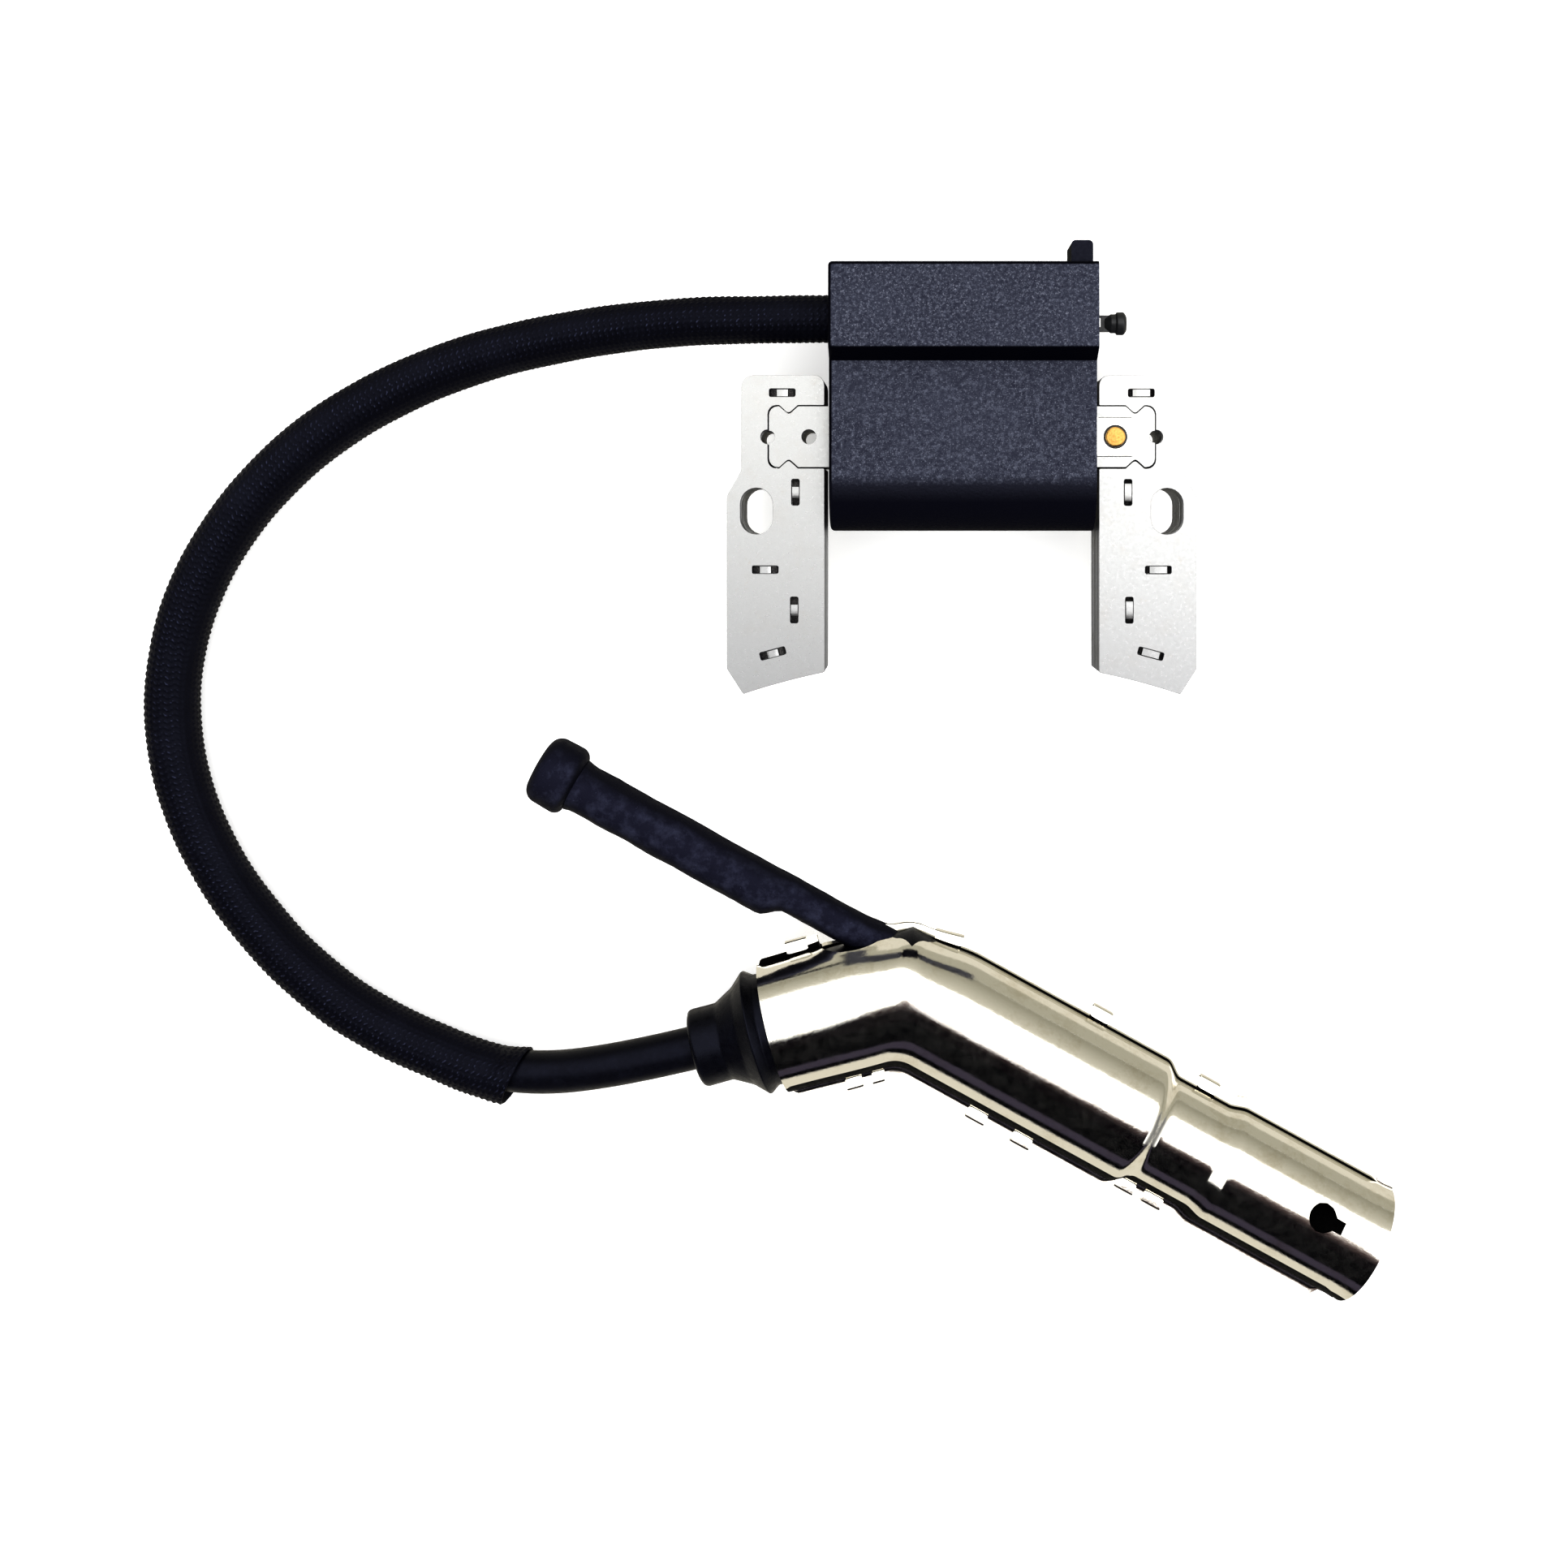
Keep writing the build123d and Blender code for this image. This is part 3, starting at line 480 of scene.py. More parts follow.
def wound_wire(name, colour, pitch):
    """Enamelled wire wound round X: ridges across it at the wire's pitch, with painted shade in the grooves.
    """
    paint = Paint(name, colour, 0.3, metallic=0.6, coat=0.6)
    wave = paint.node("ShaderNodeTexWave", bands_direction="X")
    wave.inputs["Scale"].default_value = 0.314 / (pitch * MM)
    wave.inputs["Distortion"].default_value = 0.4
    paint.link(paint.place, wave.inputs["Vector"])
    # Painted shade: darker in the grooves between turns.
    paint.tint(paint.span(wave.outputs["Fac"], 0.5, 0.0, 0, 0.8), tuple(c * 0.3 for c in colour))
    paint.bump(wave.outputs["Fac"], pitch / 2)
    return paint.material


PLASTIC = housing_plastic()
STEEL = core_steel()
SHIELD = shield_steel()
TIN = tinned_sheet()
BRASS = brass()
RESIN = resin_black()
YARN = braid_yarn()
# Painted shade for the shield's seam crease and the inside of its sheet.
SEAM_SHADE = moulded("seam_painted_shade", (0.001, 0.001, 0.001), 0.5, specular=0.02)
EDGE = cut_edge()
SHADE_BLACK = painted_shade_black()
LEAD_RUBBER = rubber("lead_rubber", (0.0028, 0.0028, 0.006), (0.006, 0.0065, 0.013), 0.34,
                     size=0.4, depth=0.012, specular=0.16)
BOOT_RUBBER = rubber("boot_rubber", (0.0022, 0.0022, 0.0045), (0.006, 0.0064, 0.012), 0.30,
                     depth=0.03, specular=0.2)
HANDLE_RUBBER = rubber("handle_rubber", (0.009, 0.009, 0.020), (0.042, 0.045, 0.078), 0.6,
                       depth=0.045, specular=0.12)
BLACK_NYLON = moulded("black_nylon", (0.012, 0.0125, 0.016), 0.35)

CAD_FINISH = {
    "coil_housing": PLASTIC,
    "potting_resin": RESIN,
    "ground_strap": TIN,
    "kill_terminal": BLACK_NYLON,
    "cap_boot": BOOT_RUBBER,
    "lead_conductor": TIN,
    "contact_spring": TIN,
    "terminal_clip": TIN,
    "hv_terminal": BRASS,
    "elbow_terminal": BRASS,
    "plug_terminal": BRASS,
    "primary_bobbin": moulded("bobbin_nylon", (0.72, 0.68, 0.56), 0.45),
    "secondary_bobbin": moulded("section_nylon", (0.72, 0.68, 0.56), 0.45),
    "primary_winding": wound_wire("magnet_wire", (0.62, 0.22, 0.06), 0.5),
    "secondary_winding": wound_wire("fine_magnet_wire", (0.66, 0.28, 0.09), 0.12),
    "circuit_board": moulded("board_laminate", (0.30, 0.22, 0.07), 0.5),
    "switching_transistor": moulded("package_epoxy", (0.02, 0.02, 0.022), 0.5),
    "clamp_diode": moulded("diode_epoxy", (0.02, 0.02, 0.022), 0.5),
    "board_resistors": moulded("resistor_lacquer", (0.52, 0.38, 0.2), 0.35),
    "trigger_capacitor": moulded("capacitor_dip", (0.42, 0.06, 0.03), 0.25),
    "suppressor_resistor": moulded("resistor_ceramic", (0.78, 0.75, 0.68), 0.25),
}
for node_name, finish in CAD_FINISH.items():
    cad_mesh = frame["nodes"][node_name].data
    cad_mesh.materials.clear()
    cad_mesh.materials.append(finish)


# ---------------------------------------------------------------- high-voltage lead

LEAD_R = 3.5
LEAD_ROUTE = [
    (-0.0190, 0.0246, 0.0160),
    (-0.0370, 0.0246, 0.0160),
    (-0.0545, 0.0240, 0.0112),
    (-0.0750, 0.0210, 0.0066),
    (-0.0930, 0.0151, 0.0049),
    (-0.1088, 0.0058, 0.0047),
    (-0.1214, -0.0068, 0.0047),
    (-0.1299, -0.0221, 0.0047),
    (-0.1329, -0.0381, 0.0047),
    (-0.1305, -0.0542, 0.0047),
    (-0.1228, -0.0698, 0.0047),
    (-0.1115, -0.0831, 0.0047),
    (-0.0980, -0.0932, 0.0047),
    (-0.0765, -0.1016, 0.0052),
    (-0.05233, -0.09755, 0.01095),
    (-0.02823, -0.09091, 0.01095),
]


def lead_curve():
    curve = bpy.data.curves.new("high_voltage_lead", "CURVE")
    curve.dimensions = "3D"
    curve.resolution_u = 24
    spline = curve.splines.new("NURBS")
    spline.points.add(len(LEAD_ROUTE) - 1)
    for point, place in zip(spline.points, LEAD_ROUTE):
        point.co = (*place, 1)
    spline.order_u = 3
    spline.use_endpoint_u = True
    return linked("high_voltage_lead", curve)


lead = lead_curve()


class Line:
    """The lead's centreline, in millimetres, with its length and a steady frame at each distance."""

    def __init__(self, curve_object):
        mesh = bpy.data.meshes.new_from_object(curve_object)
        self.points = [v.co / MM for v in mesh.vertices]
        bpy.data.meshes.remove(mesh)
        self.along = [0.0]
        for a, b in zip(self.points, self.points[1:]):
            self.along.append(self.along[-1] + (b - a).length)
        self.length = self.along[-1]

    def at(self, distance):
        """The point, the way along, the sideways and the upward direction there."""
        k = 0
        while k < len(self.along) - 2 and self.along[k + 1] < distance:
            k += 1
        a, b = self.points[k], self.points[k + 1]
        share = (distance - self.along[k]) / (self.along[k + 1] - self.along[k])
        before, after = self.points[max(k - 1, 0)], self.points[min(k + 2, len(self.points) - 1)]
        way = ((b - before).normalized() * (1 - share) + (after - a).normalized() * share).normalized()
        side = UP.cross(way).normalized()
        return a.lerp(b, share), way, side, way.cross(side)


line = Line(lead)
lead.data.bevel_depth = LEAD_R * MM
lead.data.bevel_resolution = 10
lead.data.use_fill_caps = True
dress(lead, LEAD_RUBBER, "coil", ["lead_insulation"])

SLEEVE_FROM = 1.8
SLEEVE_TO = line.length - 47.0
SLEEVE_BORE = 3.7
SLEEVE_SLANT = 1.9
SLEEVE_SAG = 0.85
SLEEVE_LOOSE = 16.0
SLEEVE_RUCK = 0.10
BORE_STEPS = 40
BRAID_ROWS = 28
BRAID_PITCH = 1.05
BRAID_RELIEF = 0.22
SLEEVE_COLUMNS = 120
SLEEVE_STEP = 0.31


def smooth_step(x, low, high):
    x = min(1.0, max(0.0, (x - low) / (high - low)))
    return x * x * (3 - 2 * x)


def sleeve_radius(share, from_end):
    """Tight at the coil, fuller further on, and a little flared where it is cut."""
    body = 3.95 + 0.62 * smooth_step(share, 0.02, 0.45)
    return body + 0.3 * smooth_step(from_end, 5.0, 0.0)


def braid_height(angle, distance):
    """The weave's relief, from 0 to 1: rows of short strands, each row leaning the other way."""
    turn = angle / (2 * math.pi) * BRAID_ROWS
    row = math.floor(turn)
    within = turn - row
    lean = 0.6 * within if row % 2 else 0.5 - 0.6 * within
    strand = max(0.0, math.cos(2 * math.pi * (distance / BRAID_PITCH + lean)))
    return strand * math.sin(math.pi * within) ** 0.5


def sleeve_point(distance, angle, reach, loose):
    """A point round the lead. Where it is loose the sleeve sags to one side and is cut on a slant."""
    centre, way, side, up = line.at(distance + SLEEVE_SLANT * loose * math.sin(angle))
    centre = centre - side * (SLEEVE_SAG * loose)
    return centre + side * (math.sin(angle) * reach) + up * (math.cos(angle) * reach)


def braided_sleeve():
    """The woven outside, from the coil to the cut end, and back again along the plain bore."""
    angles = [2 * math.pi * c / SLEEVE_COLUMNS for c in range(SLEEVE_COLUMNS)]
    count = int((SLEEVE_TO - SLEEVE_FROM) / SLEEVE_STEP)
    rings, heights = [], []
    for r in range(count + 1):
        distance = SLEEVE_FROM + (SLEEVE_TO - SLEEVE_FROM) * r / count
        from_end = SLEEVE_TO - distance
        radius = sleeve_radius(r / count, from_end)
        loose = smooth_step(from_end, SLEEVE_LOOSE, 0.0)
        ring = []
        for angle in angles:
            heights.append(braid_height(angle, distance))
            relief = BRAID_RELIEF * heights[-1]
            ruck = SLEEVE_RUCK * noise.noise(Vector((distance / 9, math.cos(angle), math.sin(angle))))
            ring.append(sleeve_point(distance, angle, radius - BRAID_RELIEF + relief + ruck, loose))
        rings.append(ring)
    for r in range(BORE_STEPS + 1):
        distance = SLEEVE_TO + (SLEEVE_FROM - SLEEVE_TO) * r / BORE_STEPS
        loose = smooth_step(SLEEVE_TO - distance, SLEEVE_LOOSE, 0.0)
        bore = SLEEVE_BORE + SLEEVE_SAG * loose
        rings.append([sleeve_point(distance, angle, bore, loose) for angle in angles])
    shape = Shape()
    shape.rings([*rings, rings[0]], caps=False)
    obj = piece("braided_sleeve_cover", shape, YARN, ["braided_sleeve"], sharp=180, weld=0)
    strand = obj.data.attributes.new("strand", "FLOAT", "POINT")
    for k, height in enumerate(heights):
        strand.data[k].value = height
    return obj


sleeve = braided_sleeve()


# ---------------------------------------------------------------- plug cap

ELBOW_TO_SOCKET = 70.0
PLUG_WAY = Vector(MOUNTS["plug_hexagon_socket"]["axis"])
ELBOW = Vector(MOUNTS["plug_hexagon_socket"]["pos_m"]) / MM - PLUG_WAY * ELBOW_TO_SOCKET
LEAD_WAY = (Vector(LEAD_ROUTE[-2]) - Vector(LEAD_ROUTE[-1])).normalized()
PLUG_SIDE = UP.cross(PLUG_WAY)
LEAD_SIDE = LEAD_WAY.cross(UP)
CAP_Z = ELBOW.z


def on_plug(along, side, up):
    """A point given along the plug axis, towards the handle's side of it, and above it."""
    return ELBOW + PLUG_WAY * along + PLUG_SIDE * side + UP * up


def on_lead(along, side, up):
    return ELBOW + LEAD_WAY * along + LEAD_SIDE * side + UP * up


MITRE_SLOPE = math.tan((math.pi - PLUG_WAY.angle(LEAD_WAY)) / 2)
ELBOW_FADE = 17.0
ELBOW_SOFTEN = 2.2
ELBOW_FLAT = 1.2
ELBOW_FLAT_REACH = 9.0


def on_cap(along, side, up):
    """A point on the bent tube's skin. Along is positive on the plug's side of the elbow."""
    near = max(0.0, 1 - (along / ELBOW_FLAT_REACH) ** 2)
    side -= ELBOW_FLAT * near * near * max(0.0, side / SHIELD_R) ** 3
    to_mitre = -MITRE_SLOPE * side
    fade = max(0.0, 1 - abs(along) / ELBOW_FADE) ** 2
    past = abs(along) + to_mitre * fade - to_mitre
    meet = ELBOW + PLUG_WAY * to_mitre + PLUG_SIDE * side + UP * up
    if past >= ELBOW_SOFTEN:
        return meet + (PLUG_WAY if along > 0 else LEAD_WAY) * past
    signed = past if along > 0 else -past
    q = (signed + ELBOW_SOFTEN) / (2 * ELBOW_SOFTEN)
    return meet + LEAD_WAY * (ELBOW_SOFTEN * (1 - q) ** 2) + PLUG_WAY * (ELBOW_SOFTEN * q ** 2)


SHEET = 0.5
SHIELD_R = 10.9
LEAD_END_R = 10.6
NECK_R = 9.15
SOCKET_R = 9.95
SHIELD_FROM = -22.5
SHIELD_TO = 85.8
FLANGE_PROUD = 1.9
FLANGE_TO = 82.6
FLANGE_FROM = -21.9
SEAM_FILLET = 1.0
FLANGE_TILT = math.tan(math.radians(10))
KEYHOLE_AT = 74.8
KEYHOLE_SIDE = 2.4
KEYHOLE_R = 2.3
KEYHOLE_SLIT = 1.0
HANDLE_AXIS = 4.75
ARCH_AT = 6.0
ARCH_HALF = 5.7
ARCH_HIGH = 5.0
ARCH_LIP = 0.2
ARCH_LIP_FADE = 0.13


def shield_radius(along):
    """The barrel, the shoulder, the neck and the socket, with their formed blends."""
    radius = LEAD_END_R + (SHIELD_R - LEAD_END_R) * smooth_step(along, SHIELD_FROM, -6.0)
    radius += (NECK_R - SHIELD_R) * smooth_step(along, 43.0, 46.4)
    radius += (SOCKET_R - NECK_R) * smooth_step(along, 55.4, 58.8)
    return radius + 0.12 * smooth_step(along, SHIELD_TO - 1.2, SHIELD_TO)


def flange_reach(along):
    """How far the seam flange stands out from the axis."""
    full = shield_radius(along) + FLANGE_PROUD
    out = smooth_step(along, FLANGE_TO + 0.6, FLANGE_TO - 0.9)
    out *= smooth_step(along, FLANGE_FROM - 0.5, FLANGE_FROM + 0.7)
    bare = shield_radius(along) + 0.25
    return bare + (full - bare) * out


def shield_profile(along):
    """The outer surface of the front half across the tube, from one flange edge to the other."""
    radius, reach = shield_radius(along), flange_reach(along)
    plain = 1 - smooth_step(reach - radius, 0.3, 1.5)
    fillet = SEAM_FILLET * (1 - plain) + 0.06 * plain
    height = SHEET + 0.05
    centre = math.sqrt((radius + fillet) ** 2 - (height + fillet) ** 2)
    start = math.atan2(height + fillet, centre)
    side = [(reach, height - 0.10), (reach - 0.02, height)]
    side += [(centre + (reach - 0.02 - centre) * k / 3, height) for k in (2, 1)]
    for k in range(7):
        a = -math.pi / 2 - (math.pi / 2 - start) * k / 6
        side.append((centre + fillet * math.cos(a), height + fillet + fillet * math.sin(a)))
    arc = [start + (math.pi - 2 * start) * k / 60 for k in range(1, 60)]
    barrel = [(radius * math.cos(a), radius * math.sin(a)) for a in arc]
    return side + barrel + [(-x, y) for x, y in reversed(side)]


def outside_arch(point):
    """Above zero outside the handle's opening, an oval in the side of the lead's arm."""
    if (point - ELBOW).dot(LEAD_SIDE) < 0:
        return 1.0
    along = (point - ELBOW).dot(LEAD_WAY)
    return math.hypot((along - ARCH_AT) / ARCH_HALF, (point.z - CAP_Z) / ARCH_HIGH) - 1


def arch_lip(point):
    """How far the rim of the handle's opening is turned outwards at a point of the skin."""
    if (point - ELBOW).dot(LEAD_SIDE) < 6.0 or point.z - CAP_Z > ARCH_HIGH + 3:
        return 0.0
    return ARCH_LIP * math.exp(-(max(0.0, outside_arch(point)) / ARCH_LIP_FADE) ** 2)


def skin(along, across, up, mirror):
    """A point of the shield's outer surface, with its tilted flanges and the opening's turned rim."""
    point = on_cap(along, across, up)
    lip = arch_lip(point)
    radius = shield_radius(along)
    past = max(0.0, abs(across) - radius - 0.4)
    tilt = -math.copysign(past * FLANGE_TILT, across)
    height = (point.z - CAP_Z) * mirror + tilt
    return Vector((point.x, point.y, CAP_Z + height)) + LEAD_SIDE * lip


def stations():
    """Closer together where the tube changes shape."""
    along, places = SHIELD_FROM, []
    while along < SHIELD_TO:
        places.append(along)
        busy = abs(along) < 12 or 42 < along < 47.5 or 54.5 < along < 60 or along < -20
        along += 0.36 if busy else 1.2
    return [*places, SHIELD_TO]


def cut_away(mesh, outside):
    """Cut a skin along the line where outside(point) is zero, and drop the part below zero."""
    bm = bmesh.new()
    bm.from_mesh(mesh)
    values = {vert: outside(vert.co / MM) for vert in bm.verts}
    for edge in list(bm.edges):
        first, second = edge.verts
        if values[first] * values[second] < 0:
            share = values[first] / (values[first] - values[second])
            values[bmesh.utils.edge_split(edge, first, share)[1]] = 0.0
    for face in list(bm.faces):
        crossing = [vert for vert in face.verts if values[vert] == 0.0]
        if len(crossing) == 2:
            bmesh.utils.face_split(face, *crossing)
    gone = [face for face in bm.faces if sum(values[vert] for vert in face.verts) < 0]
    bmesh.ops.delete(bm, geom=gone, context="FACES")
    bm.to_mesh(mesh)
    bm.free()


def outside_keyhole(point):
    """Above zero outside the round hole and the slit from it to the socket's mouth."""
    past = (point - ELBOW).dot(PLUG_WAY) - KEYHOLE_AT
    off = (point - ELBOW).dot(PLUG_SIDE) - KEYHOLE_SIDE
    return min(math.hypot(past, off) - KEYHOLE_R, max(abs(off) - KEYHOLE_SLIT, -past))


def shield_half(name, node, mirror):
    """One pressed half: a skin with its openings cut, given the sheet's thickness."""
    places = stations()
    rows = [[skin(along, across, up, mirror) for across, up in shield_profile(along)] for along in places]
    shape = Shape()
    shape.rings(rows, closed=False, caps=False)
    obj = piece(name, shape, SHIELD, [node])
    columns = len(rows[0]) - 1
    if obj.data.polygons[columns // 2].normal.z * mirror < 0:
        obj.data.flip_normals()

    def in_crease(face):
        """Along the seam, where the flange meets the tube: painted shade in the crease."""
        row, column = divmod(face.index, columns)
        first = 4 if places[row] < -8 else 7
        return first <= column < 10 or columns - 21 <= column < columns - 8

    second_finish(obj, SEAM_SHADE, in_crease)
    cut_away(obj.data, outside_arch)
    if mirror > 0:
        cut_away(obj.data, outside_keyhole)
    solid = obj.modifiers.new("sheet", "SOLIDIFY")
    solid.thickness = SHEET * MM
    solid.offset = -1
    solid.use_even_offset = True
    # The sheet's inner side takes the painted shade as well.
    solid.material_offset = 1
    return applied(obj)


def applied(obj, sharp=38.0):
    """Turn an object's modifiers into its mesh."""
    graph = bpy.context.evaluated_depsgraph_get()
    mesh = bpy.data.meshes.new_from_object(obj.evaluated_get(graph), depsgraph=graph)
    obj.modifiers.clear()
    obj.data = mesh
    mesh.shade_smooth()
    mesh.set_sharp_from_angle(angle=math.radians(sharp))
    return obj


front_half = shield_half("shield_front", "shield_front_half", 1)
rear_half = shield_half("shield_rear", "shield_rear_half", -1)

TAB_LENGTH = 3.4
TAB_SHEET = 0.4
TAB_ROUND = 0.10
TAB_STEPS = 10
TABS = {1: (-15.4, 4.5, 30.1, 51.2), -1: (-11.5, -5.8, 20.0, 28.4, 46.9, 52.0)}


def seam_tabs():
    """The rear half's tabs, folded up round the flanges and down onto the front one."""
    shape = Shape()
    for place, side in [(place, side) for side, places in TABS.items() for place in places]:
        edge = flange_reach(place)
        outer = rounded([(edge - 0.6, -0.75, 0), (edge + TAB_SHEET, -0.75, 0.45),
                         (edge + TAB_SHEET, SHEET + 0.42, 0.4), (edge - 1.5, SHEET + 0.42, 0)], closed=False)
        inner = rounded([(edge - 0.6, -0.52, 0), (edge + 0.05, -0.52, 0.1),
                         (edge + 0.05, SHEET + 0.07, 0.08), (edge - 1.5, SHEET + 0.03, 0)], closed=False)
        loop = outer + list(reversed(inner))
        rings = []
        for k in range(TAB_STEPS + 1):
            share = k / TAB_STEPS
            ease = 1 - TAB_ROUND * (2 * share - 1) ** 8
            along = place + (share - 0.5) * TAB_LENGTH
            rings.append([skin(along, side * (edge + (x - edge) * ease), up, 1) for x, up in loop])
        shape.rings(rings)
    return piece("shield_tabs", shape, SHIELD, sharp=50)


tabs = seam_tabs()


def lathe(stations_in, place, columns=96, wobble=0.0, seam=0.0):
    """A turned form from (along, radius) stations, with optional unevenness and a mould line."""
    shape = Shape()
    rings = []
    for along, radius in stations_in:
        ring = []
        for c in range(columns):
            a = 2 * math.pi * c / columns
            spot = Vector((along / 6, math.cos(a) * 1.5, math.sin(a) * 1.5))
            uneven = wobble * noise.noise(spot)
            ridge = seam * max(0.0, 1 - abs(math.sin(a)) * radius / 0.28)
            reach = max(0.0, radius + (uneven + ridge) * min(1.0, radius))
            ring.append(place(along, math.cos(a) * reach, math.sin(a) * reach))
        rings.append(ring)
    shape.rings(rings)
    return shape


def dense(profile, step=0.6):
    """The profile with points no further apart than step."""
    points = [profile[0]]
    for (x0, y0), (x1, y1) in zip(profile, profile[1:]):
        parts = max(1, math.ceil(math.hypot(x1 - x0, y1 - y0) / step))
        points += [(x0 + (x1 - x0) * k / parts, y0 + (y1 - y0) * k / parts) for k in range(1, parts + 1)]
    return points


def cable_seal():
    """Rubber grommet: tucked lip, sharp flare, hollow cone and a rolled collar round the lead."""
    low, bore = 20.6, LEAD_R + 0.05
    outer = rounded([
        (low, 9.0, 0), (23.9, 9.1, 0.8), (25.4, 10.15, 0.25), (27.6, 8.1, 3.0), (30.9, 6.35, 1.4),
        (35.7, 6.35, 0.9), (35.9, 4.1, 0.3), (34.6, bore, 0),
    ], closed=False)
    loop = dense(outer) + [(low, bore)]
    shape = lathe([*loop, loop[0]], on_lead, wobble=0.10, seam=0.10)
    shape.faces = shape.faces[:-2]
    return piece("lead_seal", shape, BOOT_RUBBER, ["cable_seal"])


seal = cable_seal()

HANDLE_ROOT = -3.0
HANDLE_END = -70.9
KNOB_FROM = -64.2
STEP_FROM = -23.9
STEP_TO = -27.8
THIN_R = 2.95
THICK_R = 4.1
THICK_AXIS = 3.6
KNOB_R = 5.9


def pull_handle():
    """One moulded rubber rod: thin at the root, stepped on its lower side, with a rounded knob."""
    profile = []
    for k in range(64):
        along = HANDLE_ROOT + (KNOB_FROM + 0.3 - HANDLE_ROOT) * k / 63
        step = smooth_step(along, STEP_FROM, STEP_TO)
        radius = THIN_R + (THICK_R - THIN_R) * step
        radius += 0.5 * smooth_step(along, -12.0, -7.0)
        radius += 0.35 * smooth_step(along, KNOB_FROM + 2.0, KNOB_FROM)
        profile.append((along, radius, HANDLE_AXIS + (THICK_AXIS - HANDLE_AXIS) * step))
    knob = rounded([
        (KNOB_FROM + 0.2, THICK_R, 0), (KNOB_FROM, KNOB_R, 1.7), (HANDLE_END, KNOB_R - 0.2, 2.3),
        (HANDLE_END, 0.02, 0),
    ], closed=False, steps=9)
    profile += [(x, r, THICK_AXIS) for x, r in dense(knob)[1:]]
    shape = Shape()
    rings = []
    for along, radius, axis in profile:
        ring = []
        for c in range(72):
            a = 2 * math.pi * c / 72
            spot = Vector((along / 5, math.cos(a) * 1.2, math.sin(a) * 1.2))
            uneven = 0.16 * noise.noise(spot) + 0.05 * noise.noise(spot * 4)
            ridge = 0.11 * max(0.0, 1 - abs(math.sin(a)) * radius / 0.3)
            reach = radius + (uneven + ridge) * min(1.0, radius / 2)
            ring.append(on_plug(along, axis + math.cos(a) * reach, math.sin(a) * reach))
        rings.append(ring)
    shape.rings(rings)
    obj = piece("pull_handle_rubber", shape, HANDLE_RUBBER, ["handle_root", "pull_handle"],
                body=None)
    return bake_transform(obj)


handle = pull_handle()


# ---------------------------------------------------------------- laminated core

CORE_LOW = span("core_bar")[0].z
CORE_HIGH = span("core_bar")[1].z
SHEETS = 20
SHEET_PITCH = (CORE_HIGH - CORE_LOW) / SHEETS
SHEET_GAP = 0.05
BAR_Y = 5.2
BAR_HALF_Y = 4.85
BAR_HALF_X = 30.65
KEY_HOLE_R = 1.15
RIVET_X = 24.3
NUB_X = 27.5
POLE_RADIUS = 109.0
POLE_TIP = (34.7, -35.65)
LEG_INNER = 21.8
JOINT_GAP = 0.17
FIXING_SLOT = MOUNTS["right_fixing_slot"]
INTERLOCKS = [(28.5, 12.2, 0), (26.4, -3.6, 90), (31.2, -15.9, 0), (26.6, -22.3, 90), (30.0, -29.2, -15)]
LANCE_LENGTH = 4.2
LANCE_WIDTH = 1.3
LANCE_CORNER = 0.3
LANCE_GAP = 0.22
LANCE_DEPTH = 0.55
LANCE_BRIGHT = {1: 0.33, -1: 0.21}


def bar_half_outline(grow):
    """The bar's outline for x > 0, from the bottom middle to the top middle: keyed to the leg."""
    half_y, half_x = BAR_HALF_Y + grow, BAR_HALF_X + grow
    reach = KEY_HOLE_R * 0.82
    bite = [(half_x, -reach, 0)]
    for k in range(1, 8):
        a = -math.pi / 2 - math.pi * k / 8
        bite.append((half_x + reach * math.cos(a), reach * math.sin(a), 0))
    bite.append((half_x, reach, 0))
    lower = [
        (NUB_X - 1.5, -half_y, 0.3), (NUB_X, -half_y + 1.35, 0.55), (NUB_X + 1.5, -half_y, 0.3),
        (half_x, -half_y, 1.4),
    ]
    upper = [(x, -y, r) for x, y, r in reversed(lower)]
    return [(x, BAR_Y + y, r) for x, y, r in lower + bite + upper]


def bar_outline():
    right = bar_half_outline(0.0)
    left = [(-x, y, r) for x, y, r in reversed(right)]
    return rounded(right + left, steps=4)


def leg_outline():
    """The right leg's outline, with the bar's end cut out of its inner side."""
    wheel_y = POLE_TIP[1] - math.sqrt(POLE_RADIUS ** 2 - POLE_TIP[0] ** 2)
    pole = []
    for k in range(13):
        x = POLE_TIP[0] + (LEG_INNER - POLE_TIP[0]) * k / 12
        pole.append((x, wheel_y + math.sqrt(POLE_RADIUS ** 2 - x ** 2), 0.3 if k in (0, 12) else 0))
    pocket = bar_half_outline(JOINT_GAP)
    keyed = [(x, y, r) for x, y, r in pocket if abs(y - BAR_Y) >= KEY_HOLE_R or x <= NUB_X]
    middle = len(keyed) // 2
    hole = []
    for k in range(9):
        a = -math.pi / 2 + math.pi * k / 8
        x = BAR_HALF_X + JOINT_GAP + KEY_HOLE_R * math.cos(a)
        hole.append((x, BAR_Y + KEY_HOLE_R * math.sin(a), 0))
    top = [
        (LEG_INNER, BAR_Y + BAR_HALF_Y + JOINT_GAP, 0.2), (LEG_INNER, 15.0, 1.6), (35.0, 15.0, 1.9),
        (35.0, -0.2, 1.6), (37.3, -4.2, 1.6), (37.3, -31.6, 0.6),
    ]
    below_bar = (LEG_INNER, BAR_Y - BAR_HALF_Y - JOINT_GAP, 0.2)
    corners = [*pole, below_bar, *keyed[:middle], *hole, *keyed[middle:], *top]
    return rounded(corners, steps=4)


def lance_outline(x, y, turn):
    """The nearly square-ended cut round a pressed interlock."""
    half_x, half_y = LANCE_LENGTH / 2, LANCE_WIDTH / 2
    signs = [(-1, -1), (1, -1), (1, 1), (-1, 1)]
    corners = [(half_x * across, half_y * up, LANCE_CORNER) for across, up in signs]
    return [turned(px, py, turn, x, y) for px, py in rounded(corners, steps=3)]


